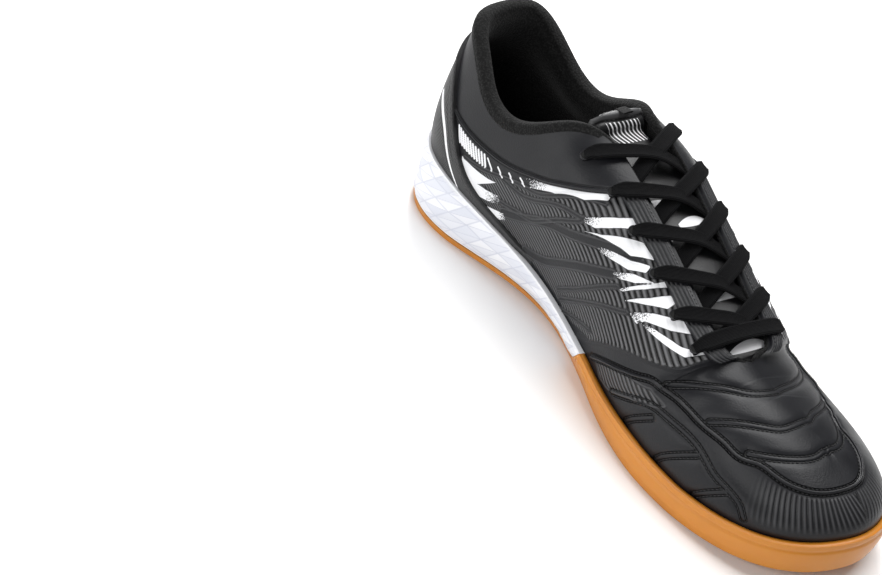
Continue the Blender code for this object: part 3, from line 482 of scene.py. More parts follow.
def soft_step(distance, width):
    """1 at no distance, falling smoothly to 0 at a width."""
    return 1 - ease(np.abs(distance), 0, width)


def join(parts):
    """One set of points and faces from several."""
    points, faces, base = [], [], 0
    for found, net in parts:
        points.append(found)
        faces.append(np.asarray(net) + base)
        base += len(found)
    return np.vstack(points), np.vstack(faces)


def piece(name, points, faces, material, slot, replaces=(), values=None, normals=None, creases=None):
    """A smooth mesh that rides on the shoe, with values for its material at each point."""
    mesh = bpy.data.meshes.new(name)
    mesh.from_pydata(np.asarray(points, float).reshape(-1, 3), [], np.asarray(faces))
    mesh.shade_smooth()
    for key, value in (values or {}).items():
        layer = mesh.attributes.new(key, "FLOAT", "POINT")
        layer.data.foreach_set("value", np.ascontiguousarray(value, np.float32).reshape(-1))
    mesh.materials.append(material)
    made = bpy.data.objects.new(name, mesh)
    bpy.context.scene.collection.objects.link(made)
    if creases:
        mesh.set_sharp_from_angle(angle=np.radians(creases))
    if normals is not None:
        mesh.normals_split_custom_set_from_vertices(np.asarray(normals, float).reshape(-1, 3))
    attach(made, "root")
    if replaces:
        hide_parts(*replaces)
    return made


def tube(path, radius, sides=8, closed=False, flatten=1.0, ups=None):
    """A round tube along a path, flattened towards the ups."""
    path = np.asarray(path, float)
    if closed:
        along = unit(np.roll(path, -1, axis=0) - np.roll(path, 1, axis=0))
    else:
        along = unit(np.gradient(path, axis=0))
    ups = np.array([0, 0, 1.0]) if ups is None else ups
    across = unit(np.cross(along, ups))
    up = np.cross(across, along)
    turn = np.arange(sides) / sides * 2 * np.pi
    radius = np.broadcast_to(np.asarray(radius, float).reshape(-1, 1, 1), (len(path), 1, 1))
    ring = np.cos(turn)[None, :, None] * across[:, None] + np.sin(turn)[None, :, None] * up[:, None] * flatten
    points = path[:, None] + ring * radius
    rows = len(path) + 1 if closed else len(path)
    faces = grid_faces(rows, sides, wrap=True) % (len(path) * sides)
    return points.reshape(-1, 3), faces[:, ::-1]


# Shaders
class Nodes:
    """Short calls that add nodes to one material and link them."""

    def __init__(self, name, colour, roughness, **sockets):
        self.made = bpy.data.materials.new(name)
        self.made.use_nodes = True
        self.tree = self.made.node_tree
        self.shader = self.tree.nodes["Principled BSDF"]
        self.shader.inputs["Base Color"].default_value = (*colour, 1)
        self.shader.inputs["Roughness"].default_value = roughness
        for key, value in sockets.items():
            self.shader.inputs[key.replace("_", " ")].default_value = value
        self.made.diffuse_color = (*colour, 1)

    def add(self, kind, **values):
        node = self.tree.nodes.new(kind)
        for key, value in values.items():
            setattr(node, key, value)
        return node

    def link(self, value, socket):
        if isinstance(value, bpy.types.NodeSocket):
            self.tree.links.new(value, socket)
        else:
            socket.default_value = value

    def math(self, operation, *values, clamp=False):
        node = self.add("ShaderNodeMath", operation=operation, use_clamp=clamp)
        for value, socket in zip(values, node.inputs, strict=False):
            self.link(value, socket)
        return node.outputs[0]

    def value(self, name):
        return self.add("ShaderNodeAttribute", attribute_name=name).outputs["Fac"]

    def place(self, scale=(1, 1, 1), turn=(0, 0, 0)):
        mapping = self.add("ShaderNodeMapping")
        self.link(self.add("ShaderNodeTexCoord").outputs["Object"], mapping.inputs["Vector"])
        mapping.inputs["Scale"].default_value = scale
        mapping.inputs["Rotation"].default_value = turn
        return mapping.outputs["Vector"]

    def noise(self, size, detail=2, place=None):
        node = self.add("ShaderNodeTexNoise")
        self.link(place or self.place(), node.inputs["Vector"])
        node.inputs["Scale"].default_value = 1 / size
        node.inputs["Detail"].default_value = detail
        return node.outputs["Fac"]

    def cells(self, size, feature="F1", output="Distance", place=None):
        node = self.add("ShaderNodeTexVoronoi", feature=feature)
        self.link(place or self.place(), node.inputs["Vector"])
        node.inputs["Scale"].default_value = 1 / size
        return node.outputs[output]

    def span(self, value, low, high, to_low=0.0, to_high=1.0, smooth=False):
        node = self.add("ShaderNodeMapRange", interpolation_type="SMOOTHSTEP" if smooth else "LINEAR")
        for key, given in zip(node.inputs, (value, low, high, to_low, to_high), strict=False):
            self.link(given, key)
        return node.outputs[0]

    def mix(self, share, one, other):
        node = self.add("ShaderNodeMix", data_type="RGBA")
        self.link(share, node.inputs[0])
        for given, socket in ((one, node.inputs[6]), (other, node.inputs[7])):
            self.link((*given, 1) if isinstance(given, tuple) else given, socket)
        return node.outputs[2]

    def bump(self, height, depth, normal=None, strength=1.0):
        node = self.add("ShaderNodeBump")
        self.link(height, node.inputs["Height"])
        node.inputs["Distance"].default_value = depth
        node.inputs["Strength"].default_value = strength
        if normal is not None:
            self.link(normal, node.inputs["Normal"])
        return node.outputs["Normal"]

    def set(self, socket, value):
        self.link(value, self.shader.inputs[socket])
        return self.made


def leather(nodes):
    """Height of a fine leather grain."""
    grain = nodes.math("ADD", nodes.noise(0.9 * MM, 3), nodes.math("MULTIPLY", nodes.cells(0.75 * MM), 0.7))
    return nodes.math("ADD", grain, nodes.math("MULTIPLY", nodes.noise(0.3 * MM, 2), 0.35))


def upper_material():
    """Satin leather with moulded ribs, painted highlights on the ridges and a white print that dissolves at its
    tips.
    """
    nodes = Nodes("upper_leather", (0.012, 0.012, 0.013), 0.36, Specular_IOR_Level=0.28)
    phase, ribs = nodes.value("rib_phase"), nodes.value("ribs")
    wave = nodes.math("ABSOLUTE", nodes.math("SINE", nodes.math("MULTIPLY", phase, np.pi)))
    crest = nodes.math("MULTIPLY", nodes.math("POWER", wave, 0.55), ribs)
    dissolve = nodes.value("dissolve")
    speck = nodes.cells(0.30 * MM, output="Color")
    kept = nodes.math("GREATER_THAN", speck, dissolve)
    white = nodes.math("MULTIPLY", nodes.span(nodes.value("print_mm"), -0.07, 0.07), kept)
    tone = nodes.noise(14 * MM, 3)
    black = nodes.mix(tone, (0.0045, 0.0047, 0.0062), (0.0095, 0.0098, 0.0122))
    # Painted highlight on the rib crests and painted shade in the rib valleys, following the rib wave.
    ribbed = nodes.mix(nodes.math("POWER", wave, 3.0), (0.0006, 0.0006, 0.0006), (0.125, 0.125, 0.130))
    black = nodes.mix(ribs, black, ribbed)
    # Painted highlight along the raised ridges of the veins, the piping and the leaf.
    black = nodes.mix(nodes.value("ridge"), black, (0.055, 0.055, 0.058))
    # Painted shade in the recessed seam grooves beside the collar and the vamp.
    black = nodes.mix(nodes.value("groove"), black, (0.001, 0.001, 0.001))
    beside = nodes.math("ABSOLUTE", nodes.math("SUBTRACT", nodes.value("seam_mm"), SEAM_APART))
    pressed = nodes.span(beside, 0.25, 0.62, 1, 0)
    # Painted shade in the pressed channels where the stitch rows run.
    black = nodes.mix(pressed, black, (0.0006, 0.0006, 0.0007))
    dirt = nodes.mix(nodes.noise(7 * MM, 2), (0.80, 0.81, 0.83), (0.88, 0.88, 0.90))
    nodes.set("Base Color", nodes.mix(white, black, dirt))
    rough = nodes.math("ADD", nodes.span(tone, 0.3, 0.7, 0.36, 0.46), nodes.math("MULTIPLY", white, 0.12))
    nodes.set("Roughness", rough)
    height = nodes.math("MULTIPLY", leather(nodes), nodes.span(ribs, 0, 1, 1, 0.3))
    normal = nodes.bump(height, 0.09 * MM, strength=0.55)
    normal = nodes.bump(crest, 0.60 * MM, normal, 1.0)
    normal = nodes.bump(nodes.math("SUBTRACT", 1.0, pressed), 0.45 * MM, normal, 0.9)
    nodes.set("Normal", normal)
    return nodes.made


def plain_leather():
    nodes = Nodes("plain_leather", (0.010, 0.010, 0.011), 0.40, Specular_IOR_Level=0.34)
    tone = nodes.noise(12 * MM, 3)
    nodes.set("Base Color", nodes.mix(tone, (0.0045, 0.0047, 0.0062), (0.0095, 0.0098, 0.0122)))
    nodes.set("Roughness", nodes.span(tone, 0.3, 0.7, 0.38, 0.50))
    nodes.set("Normal", nodes.bump(leather(nodes), 0.10 * MM, strength=0.6))
    return nodes.made


def tongue_material():
    """Satin leather with a generic printed badge of slanted bars and a lighter binding along the top."""
    nodes = Nodes("tongue_leather", (0.018, 0.018, 0.019), 0.42, Specular_IOR_Level=0.4)
    bars = nodes.math("COSINE", nodes.math("MULTIPLY", nodes.value("badge_run"), 2 * np.pi))
    badge = nodes.span(nodes.value("badge_mm"), 0.02, 0.15)
    white = nodes.math("MULTIPLY", nodes.span(bars, 0.35, 0.6), badge)
    white = nodes.math("MAXIMUM", white, nodes.span(nodes.value("stripe_mm"), -0.1, 0.1))
    tone = nodes.noise(12 * MM, 3)
    black = nodes.mix(tone, (0.005, 0.005, 0.0055), (0.011, 0.011, 0.012))
    black = nodes.mix(nodes.value("binding"), black, (0.060, 0.060, 0.062))
    nodes.set("Base Color", nodes.mix(white, black, (0.82, 0.82, 0.84)))
    nodes.set("Roughness", nodes.span(tone, 0.3, 0.7, 0.36, 0.48))
    nodes.set("Normal", nodes.bump(leather(nodes), 0.10 * MM, strength=0.6))
    return nodes.made


def moulded_material():
    """Satin rubbery overlay with fine ribs where asked, a pebbled tape band and a white line, with painted
    shade in the rib valleys and a painted highlight on the pebble rims.
    """
    nodes = Nodes("moulded_overlay", (0.016, 0.016, 0.017), 0.42, Specular_IOR_Level=0.45)
    wave = nodes.math("ABSOLUTE", nodes.math("SINE", nodes.math("MULTIPLY", nodes.value("rib_phase"), np.pi)))
    ribs, tape = nodes.value("ribs"), nodes.value("tape")
    white = nodes.span(nodes.value("print_mm"), -0.07, 0.07)
    black = nodes.mix(nodes.noise(10 * MM, 3), (0.006, 0.006, 0.0065), (0.013, 0.013, 0.014))
    # Painted shade in the valleys between the ribs.
    rib_valley_shade = nodes.math("MULTIPLY", ribs, nodes.math("SUBTRACT", 1.0, wave))
    black = nodes.mix(rib_valley_shade, black, (0.002, 0.002, 0.002))
    # Painted highlight on the raised pebble rims of the tape, with the pits left darker.
    pebble_rim_highlight = nodes.math("MULTIPLY", tape, nodes.span(nodes.cells(0.95 * MM), 0.1, 0.5))
    black = nodes.mix(pebble_rim_highlight, black, (0.03, 0.03, 0.031))
    nodes.set("Base Color", nodes.mix(white, black, (0.84, 0.84, 0.86)))
    nodes.set("Roughness", nodes.span(tape, 0, 1, 0.40, 0.62))
    normal = nodes.bump(leather(nodes), 0.08 * MM, strength=0.5)
    normal = nodes.bump(nodes.math("MULTIPLY", nodes.cells(0.95 * MM), tape), 0.5 * MM, normal, 0.8)
    normal = nodes.bump(nodes.math("MULTIPLY", nodes.math("POWER", wave, 0.6), ribs), 0.45 * MM, normal, 0.9)
    nodes.set("Normal", normal)
    return nodes.made


def knit_material(name, dark, light, size):
    """Knitted mesh: staggered loops with painted shade in the gaps between them."""
    nodes = Nodes(name, dark, 0.85, Specular_IOR_Level=0.25)
    loops = nodes.cells(size)
    shade = nodes.span(loops, 0.15, 0.6)
    nodes.set("Base Color", nodes.mix(shade, light, dark))
    nodes.set("Roughness", 0.88)
    nodes.shader.inputs["Sheen Weight"].default_value = 0.06
    nodes.shader.inputs["Sheen Roughness"].default_value = 0.5
    normal = nodes.bump(nodes.math("SUBTRACT", 1.0, loops), 0.35 * MM, strength=0.8)
    nodes.set("Normal", nodes.bump(nodes.noise(0.25 * MM, 2), 0.1 * MM, normal, 0.6))
    return nodes.made


def lace_material():
    """Flat woven cord with a herringbone of fine threads."""
    nodes = Nodes("woven_lace", (0.006, 0.006, 0.006), 0.9, Specular_IOR_Level=0.06)
    run, across = nodes.value("run_mm"), nodes.value("across_mm")
    aside = nodes.math("MULTIPLY", nodes.math("ABSOLUTE", across), 2.2)
    slant = nodes.math("ADD", nodes.math("MULTIPLY", run, 1.9), aside)
    thread = nodes.math("ABSOLUTE", nodes.math("SINE", nodes.math("MULTIPLY", slant, np.pi)))
    warp = nodes.math("ABSOLUTE", nodes.math("SINE", nodes.math("MULTIPLY", across, np.pi / 0.62)))
    height = nodes.math("ADD", nodes.math("MULTIPLY", thread, 0.5), warp)
    lit = nodes.math("MULTIPLY", thread, warp)
    nodes.set("Base Color", nodes.mix(lit, (0.0004, 0.0004, 0.0005), (0.010, 0.010, 0.011)))
    nodes.shader.inputs["Sheen Weight"].default_value = 0.02
    normal = nodes.bump(height, 0.28 * MM, strength=0.9)
    nodes.set("Normal", nodes.bump(nodes.noise(0.2 * MM, 2), 0.08 * MM, normal, 0.5))
    return nodes.made


def thread_material(name, colour):
    nodes = Nodes(name, colour, 0.6)
    nodes.set("Normal", nodes.bump(nodes.noise(0.2 * MM, 1), 0.06 * MM, strength=0.5))
    return nodes.made


def foam_material():
    """White moulded foam with a random tint on each facet and a faint blue-grey painted shade along its
    creases.
    """
    nodes = Nodes("white_foam", (0.80, 0.81, 0.84), 0.5)
    nodes.shader.inputs["Subsurface Weight"].default_value = 0.08
    nodes.shader.inputs["Subsurface Radius"].default_value = (0.002, 0.002, 0.002)
    tone = nodes.noise(9 * MM, 2)
    white = nodes.mix(tone, (0.80, 0.81, 0.85), (0.87, 0.87, 0.89))
    white = nodes.mix(nodes.value("facet"), white, (0.66, 0.68, 0.75))
    # Painted shade, blue-grey, along the creases between the facets.
    nodes.set("Base Color", nodes.mix(nodes.value("crease"), white, (0.56, 0.58, 0.66)))
    nodes.set("Roughness", nodes.span(tone, 0.3, 0.7, 0.42, 0.55))
    nodes.set("Normal", nodes.bump(nodes.noise(0.5 * MM, 3), 0.05 * MM, strength=0.4))
    return nodes.made


def gum_material():
    """Translucent gum rubber, with painted shade in the grooves of its tread."""
    nodes = Nodes("gum_rubber", (0.58, 0.19, 0.02), 0.38)
    nodes.shader.inputs["Subsurface Weight"].default_value = 0.15
    nodes.shader.inputs["Subsurface Radius"].default_value = (0.004, 0.0016, 0.0006)
    tone = nodes.noise(16 * MM, 3)
    gum = nodes.mix(tone, (0.52, 0.185, 0.014), (0.64, 0.245, 0.024))
    # Painted shade in the carved grooves and lines of the tread.
    nodes.set("Base Color", nodes.mix(nodes.value("groove"), gum, (0.34, 0.10, 0.015)))
    nodes.set("Roughness", nodes.span(tone, 0.3, 0.7, 0.32, 0.46))
    nodes.set("Normal", nodes.bump(nodes.noise(0.6 * MM, 3), 0.05 * MM, strength=0.4))
    return nodes.made


# The upper's skin as one dense net round the whole ring. It is read and shaped before it is cut into pieces.
FOLD_STEPS = 28 // SPARSE
ROWS = 150 // SPARSE + 1
COLUMNS = RING * FOLD_STEPS
FOLD_AT = np.arange(COLUMNS) / FOLD_STEPS
RISE_AT = np.linspace(0, 1, ROWS)


def frame_shift():
    """How far the frame's origin lies from that of the tables, from the box of the upper's solid."""
    folds = np.arange(RING * CAD_STEPS)[None, :] / CAD_STEPS
    low = surface(folds, np.array(CAD_RISES)[:, None]).min(axis=(0, 1))
    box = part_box("upper")[0]
    return np.array([box.x - low[0], box.y - low[1], 0.0])


SHIFT = frame_shift()


def skin_normals(points):
    """Unit normals of the skin net, the same on both sides where they meet along the crown."""
    along = np.roll(points, -1, axis=1) - np.roll(points, 1, axis=1)
    normals = unit(np.cross(np.gradient(points, axis=0), along))
    spine = THROAT_FOLD * FOLD_STEPS
    shared = unit(normals[-1, 1 : spine + 1] + normals[-1, :-spine - 1 : -1])
    normals[-1, 1 : spine + 1] = shared
    normals[-1, :-spine - 1 : -1] = shared
    return normals


def base_skin():
    """Points and unit normals of the plain skin, rows from the sole up, joined along the crown."""
    points = surface(FOLD_AT[None, :], RISE_AT[:, None]) + SHIFT
    spine = THROAT_FOLD * FOLD_STEPS
    middle = (points[-1, 1 : spine + 1] + points[-1, :-spine - 1 : -1]) / 2
    blend = ease(RISE_AT, 0.5, 1)[:, None, None]
    points[:, 1 : spine + 1] += (middle - points[-1, 1 : spine + 1]) * blend
    points[:, :-spine - 1 : -1] += (middle - points[-1, :-spine - 1 : -1]) * blend
    return points, skin_normals(points)


SKIN, SKIN_NORMAL = base_skin()
HEIGHT = np.concatenate([[SKIN[0] * 0], np.diff(SKIN, axis=0)])
HEIGHT = np.cumsum(np.linalg.norm(HEIGHT, axis=-1), axis=0)
Near = namedtuple("Near", "distance run side")
FAR = 0.05


def dense_line(line, smooth=True, per_step=16):
    """Fold, rise and surface point along a line given as fold and rise pairs."""
    knots = np.array(line, float)
    at = np.linspace(0, len(knots) - 1, per_step * (len(knots) - 1) + 1)
    places = spline(np.arange(len(knots)), knots, at) if smooth and len(knots) > 2 else np.column_stack(
        [np.interp(at, np.arange(len(knots)), knots[:, i]) for i in (0, 1)])
    places[:, 1] = np.clip(places[:, 1], 0, 1)
    return places, surface(places[:, 0], places[:, 1]) + SHIFT


def mirrored(line):
    return tuple((-fold, rise) for fold, rise in line)


def both(lines):
    """Lines of the medial side and their mirror images on the lateral side."""
    return [*lines, *(mirrored(line) for line in lines)]


def window(places, folds=0.75, rises=0.25):
    """Rows and columns of the skin net round some places."""
    first = int(np.floor((places[:, 0].min() - folds) * FOLD_STEPS))
    last = int(np.ceil((places[:, 0].max() + folds) * FOLD_STEPS))
    columns = np.arange(first, last + 1)
    low = int(max(np.floor((places[:, 1].min() - rises) * (ROWS - 1)), 0))
    high = int(min(np.ceil((places[:, 1].max() + rises) * (ROWS - 1)), ROWS - 1))
    return np.arange(low, high + 1), columns


def near(line, smooth=True):
    """For each point of the skin: how far it is from a line, how far along, and on which side."""
    places, path = dense_line(line, smooth)
    rows, columns = window(places)
    found = Near(*(np.full((ROWS, COLUMNS), value) for value in (FAR, 0.0, 1.0)))
    block = SKIN[rows[:, None], (columns % COLUMNS)[None, :]].reshape(-1, 3)
    lengths = run_along(path)
    best = np.full(len(block), np.inf)
    run, index = np.zeros(len(block)), np.zeros(len(block), int)
    for i in range(len(path) - 1):
        leg = path[i + 1] - path[i]
        share = np.clip((block - path[i]) @ leg / max(leg @ leg, 1e-15), 0, 1)
        gap = np.linalg.norm(block - path[i] - share[:, None] * leg, axis=1)
        closer = gap < best
        best = np.where(closer, gap, best)
        run = np.where(closer, lengths[i] + share * (lengths[i + 1] - lengths[i]), run)
        index = np.where(closer, i, index)
    normal = SKIN_NORMAL[rows[:, None], (columns % COLUMNS)[None, :]].reshape(-1, 3)
    leg = path[np.minimum(index + 1, len(path) - 1)] - path[index]
    side = np.sign(np.einsum("ij,ij->i", np.cross(leg, block - path[index]), normal))
    place = np.ix_(rows, columns % COLUMNS)
    shape = (len(rows), len(columns))
    for target, value in zip(found, (best, run, side), strict=True):
        target[place] = value.reshape(shape)
    return found


def inside(outline):
    """Signed distance of the skin's points into a closed outline, positive inside, in metres."""
    closed = [*outline, outline[0]]
    gap = near(closed, smooth=False).distance
    polygon = np.array(closed, float)
    rows, columns = window(polygon)
    fold = (columns / FOLD_STEPS)[None, :] + 0 * RISE_AT[rows][:, None]
    rise = RISE_AT[rows][:, None] + 0 * fold
    within = np.zeros(fold.shape, bool)
    for (f0, r0), (f1, r1) in zip(polygon[:-1], polygon[1:], strict=True):
        crosses = (r0 > rise) != (r1 > rise)
        at = f0 + (rise - r0) / np.where(r1 == r0, 1e-9, r1 - r0) * (f1 - f0)
        within ^= crosses & (fold < at)
    sign = np.full((ROWS, COLUMNS), -1.0)
    sign[np.ix_(rows, columns % COLUMNS)] = np.where(within, 1.0, -1.0)
    return gap * sign


def nearest(lines, smooth=True):
    """Least distance to any of some lines."""
    return np.minimum.reduce([near(line, smooth).distance for line in lines])


# Relief of the upper's skin
PIPING = 0.0009
SEAM_STEP = 0.0011
RIB_PITCH = (0.00125, 0.0031)
RIB_SLANT = 0.5
RIB_DEPTH = 0.00040
TOE_RIB_PITCH = 0.0024
TOE_RIB_LEAN = 0.012


def hatch_bars():
    """Slanted bars across the patch, between its top and bottom edges."""
    top, bottom = np.array(HATCH_TOP), np.array(HATCH_BOTTOM)
    shares = (np.arange(HATCH_BARS) + 0.5) / HATCH_BARS
    return [tuple(tuple(edge[0] + (edge[1] - edge[0]) * s) for edge in (top, bottom)) for s in shares]


def printed(under_seam):
    """Signed depth into the white print, in millimetres, and how far it has dissolved."""
    depth = np.full((ROWS, COLUMNS), -FAR)
    dissolve = np.zeros((ROWS, COLUMNS))
    fold = np.minimum(FOLD_AT, RING - FOLD_AT)[None, :] + 0 * RISE_AT[:, None]
    for entry in PRINTS:
        for outline in both([entry.outline]):
            found = np.minimum(inside(outline), under_seam)
            depth = np.maximum(depth, found)
            if entry.fade:
                start, end = entry.fade
                share = 1 - np.clip((fold - start) / (end - start), 0, 1)
                dissolve = np.where(found > -0.0006, np.maximum(dissolve, share), dissolve)
    for bar in both(DASHES):
        depth = np.maximum(depth, 0.00045 - near(bar, False).distance)
    for bar in both(hatch_bars()):
        depth = np.maximum(depth, 0.00055 - near(bar, False).distance)
    return depth / MM, dissolve


def rib_phase():
    """Number of ribs passed over the quarter and their pitch, which grows towards the throat."""
    slant = (HEIGHT + SKIN[0, :, 2] + RIB_SLANT * SKIN[..., 0]) / np.hypot(1, RIB_SLANT)
    start = slant[int(0.2 * (ROWS - 1)), int(15.7 * FOLD_STEPS)]
    end = slant[int(0.75 * (ROWS - 1)), int(9.3 * FOLD_STEPS)]
    growth = (RIB_PITCH[1] - RIB_PITCH[0]) / (end - start)
    pitch = np.maximum(RIB_PITCH[0] + growth * (slant - start), RIB_PITCH[0] * 0.7)
    return np.log(pitch / RIB_PITCH[0]) / growth, pitch


def shaped_skin():
    """The skin with its seams, veins, ribs and creases, and the values that its material reads."""
    seams = [near(line) for line in both([COLLAR_SEAM])]
    row = int(0.45 * (ROWS - 1))
    below = [
        np.where(seam.distance < FAR, seam.distance * seam.side * seam.side[row, at * FOLD_STEPS], FAR)
        for seam, at in zip(seams, (14, RING - 14), strict=True)
    ]
    print_mm, dissolve = printed(np.where(FOLD_AT < HEEL_FOLD, *below) - SEAM_STEP - 0.0003)
    veins = nearest(both(VEINS))
    broad = nearest(both(BROAD_VEINS))
    ribs = np.maximum.reduce([inside(outline) for outline in both([RIB_AREA])])
    ribs = ease(ribs, 0, 0.0008) * ease(veins, 0.0012, 0.0017) * ease(broad, 0.0023, 0.0029)
    ribs *= 1 - 0.8 * ease(print_mm, -0.3, 0.1)
    phase, pitch = rib_phase()
    phase += 0.2 * soft_step(np.minimum(veins, broad - 0.001), 0.003)
    wave = np.abs(np.sin(np.pi * phase))
    relief = RIB_DEPTH * (wave**0.6 - 0.6) * ribs * ease(pitch, 0.0016, 0.0024)
    relief += 0.0003 * ease(0.0020 - veins, 0, 0.0012) + 0.0003 * ease(0.0032 - broad, 0, 0.0014)
    piped = np.maximum(soft_step(veins - 0.0008, 0.00045), soft_step(broad - 0.0019, 0.0005))
    relief += 0.00035 * piped
    collar = nearest(both([COLLAR_SEAM]))
    relief += 0.0004 * soft_step(collar, PIPING) - 0.0005 * soft_step(collar - SEAM_STEP, 0.0006)
    # Masks of the seam grooves and the raised ridges. The material paints shade in the grooves and a highlight
    # on the ridges.
    groove = soft_step(collar - SEAM_STEP, 0.0004)
    ridge = np.maximum(piped, soft_step(collar, PIPING))
    vamp = near(VAMP_EDGE)
    relief += 0.0005 * soft_step(vamp.distance, PIPING)
    relief -= 0.0004 * soft_step(vamp.distance - SEAM_STEP, 0.0006)
    groove = np.maximum(groove, soft_step(vamp.distance - SEAM_STEP, 0.0005))
    seams = nearest([*ARCHES, *both(TOE_SEAMS)])
    relief -= 0.0009 * np.exp(-((seams / 0.0026) ** 2)) - 0.0005 * np.exp(-((seams / 0.0009) ** 2))
    leaf = nearest(both([LEAF]), smooth=False)
    relief += 0.0003 * soft_step(leaf, 0.0008)
    leaf_ribs = np.maximum.reduce([inside(outline) for outline in both([LEAF])])
    leaf_ribs = ease(leaf_ribs, 0.0004, 0.0012)
    toe = toe_ribs(vamp)
    phase = np.where(toe > 0.01, toe_phase(), phase)
    edge = nearest(both([RIB_EDGE]))
    relief += 0.0004 * soft_step(edge, 0.0016)
    ridge = np.maximum.reduce([ridge, soft_step(vamp.distance, PIPING), soft_step(leaf, 0.0007)])
    for crease in both(CREASES):
        relief -= 0.0009 * np.exp(-((near(crease).distance / 0.006) ** 2))
    ribs = np.maximum.reduce([ribs, leaf_ribs * 0.8, toe])
    values = {
        "rib_phase": phase,
        "ribs": ribs,
        "print_mm": np.clip(print_mm, -3, 3),
        "dissolve": dissolve * (print_mm > -0.6),
        "groove": groove,
        "ridge": ridge,
        "seam_mm": np.clip(np.minimum(seams, vamp.distance) / MM, 0, 4),
    }
    return SKIN + SKIN_NORMAL * relief[..., None], values


def toe_phase():
    """Number of ribs passed round the toe, leaning back a little as they climb."""
    row = SKIN[int(0.3 * (ROWS - 1))]
    run = run_along(row)
    lean = TOE_RIB_LEAN * RISE_AT[:, None] * np.sign((RING / 2 - FOLD_AT) % RING - RING / 2 + 1e-9)[None, :]
    return (run[None, :] + lean) / TOE_RIB_PITCH


def toe_ribs(vamp):
    """Where fine ribs run round the toe below the vamp's seam."""
    fold = np.minimum(FOLD_AT, RING - FOLD_AT)[None, :]
    below = vamp.side * np.sign(vamp.side[0, 1])
    shown = ease(HEIGHT, 0.004, 0.009) * ease(vamp.distance, 0.002, 0.004) * (below > 0)
    lateral = np.maximum(FOLD_AT - HEEL_FOLD, 0) * (RING - FOLD_AT)
    return 0.42 * shown * (1 - ease(fold, 2.0, 3.0)) * np.where(lateral > 0, 1 - ease(fold, 0.6, 1.6), 1)


SHAPED, SKIN_VALUES = shaped_skin()
SHAPED_NORMAL = skin_normals(SHAPED)


def on_skin(places, lift=0.0):
    """Points on the shaped skin at fold and rise pairs, with their normals."""
    places = np.asarray(places, float)
    column = places[:, 0] * FOLD_STEPS
    row = np.clip(places[:, 1], 0, 1) * (ROWS - 1)
    c0, r0 = np.floor(column).astype(int), np.minimum(np.floor(row).astype(int), ROWS - 2)
    cs, rs = (column - c0)[:, None], (row - r0)[:, None]
    found = []
    for net in (SHAPED, SHAPED_NORMAL):
        low = net[r0, c0 % COLUMNS] * (1 - cs) + net[r0, (c0 + 1) % COLUMNS] * cs
        high = net[r0 + 1, c0 % COLUMNS] * (1 - cs) + net[r0 + 1, (c0 + 1) % COLUMNS] * cs
        found.append(low * (1 - rs) + high * rs)
    normals = unit(found[1])
    return found[0] + normals * lift, normals


def skin_piece(name, first, last, material, replaces=()):
    """The columns of the skin from one fold to another as a piece."""
    columns = np.arange(int(first * FOLD_STEPS), int(last * FOLD_STEPS) + 1) % COLUMNS
    faces = grid_faces(ROWS, len(columns))[:, ::-1]
    values = {key: value[:, columns] for key, value in SKIN_VALUES.items()}
    return piece(name, SHAPED[:, columns], faces, material, "black_leather", replaces, values,
                 SHAPED_NORMAL[:, columns])


def build_skin():
    leather_look = upper_material()
    skin_piece("vamp", -7, 7, leather_look, ["upper"])
    skin_piece("quarter_medial", 7, 20, leather_look)
    skin_piece("quarter_lateral", 20, 33, leather_look)


# Lining and padded collar
ROLL_REACH = 0.0042


def wall_thickness(fold, rise):
    pad = np.clip(fold_values(fold)["pad"], 0, 1)
    return WALL + COLLAR_PAD * pad * ease(rise, PAD_START, 0.88) * (1 - 0.25 * ease(rise, 0.92, 1))


def build_lining():
    """The roll over the top edge and the inner face, down to the foot bed."""
    step = 4 // SPARSE
    columns = np.arange(0, COLUMNS, step)
    fold = FOLD_AT[columns]
    outer, normal = SKIN[:, columns], SKIN_NORMAL[:, columns]
    thick = wall_thickness(fold[None, :], RISE_AT[:, None])[..., None]
    inner = outer - normal * thick
    top_out, top_in = outer[-1], inner[-1]
    across = top_in - top_out
    along = np.roll(top_out, -1, axis=0) - np.roll(top_out, 1, axis=0)
    up = unit(np.cross(across, along))
    up *= np.where(up[:, 2:] < 0, -1, 1)
    wide = np.linalg.norm(across, axis=1, keepdims=True)
    pad = np.clip(fold_values(fold)["pad"], 0, 1)[:, None]
    closed = 1 - ease(np.minimum(fold, RING - fold), THROAT_FOLD - 0.3, THROAT_FOLD + 0.3)
    sunk = normal[-3] * 0.0026 * closed[:, None]
    rows = []
    below = rise_from_top(fold, ROLL_REACH)
    for share in np.linspace(0, 1, 7)[:-1]:
        rise = below + (1 - below) * share
        face = surface(fold, rise) + SHIFT
        swell = -0.0004 + 0.0012 * np.sqrt(np.clip(share * 3, 0, 1))
        rows.append(face + normal[-3] * (swell * pad - 0.0006 * (1 - pad)) - sunk)
    for share in np.linspace(0, 1, 15):
        turn = np.pi * share
        lift = up * wide * (0.26 + 0.16 * pad) * np.sin(turn) ** 0.8
        start = top_out + normal[-3] * 0.0008 * pad
        rows.append(start + (top_in - start) * (1 - np.cos(turn)) / 2 + lift - sunk)
    down = inner[:: -5 // SPARSE][1:]
    seat = level_row(WALL + RIM + 0.0014, seat_height, fold, GAP * 2)
    net = np.stack([*rows, *down, seat])
    look = knit_material("lining_knit", (0.001, 0.001, 0.001), (0.012, 0.012, 0.012), 0.9 * MM)
    faces = grid_faces(len(net), len(columns), wrap=True)[:, ::-1]
    lining = piece("lining", net, faces, look, "black_textile")


def level_row(inset, height, fold, lift=0.0):
    """A level row inside the sole's edge at places on the ring."""
    place = fold_values(fold)["edge"]
    flat = on_outline(EDGE_OUTLINE, place) + inward(EDGE_OUTLINE, place) * inset
    return np.column_stack([flat, height(flat[:, 0]) + lift]) + SHIFT


# Stitches and piping
Stitching = namedtuple("Stitching", "pitch length radius")
FINE = Stitching(0.0019, 0.0013, 0.00022)


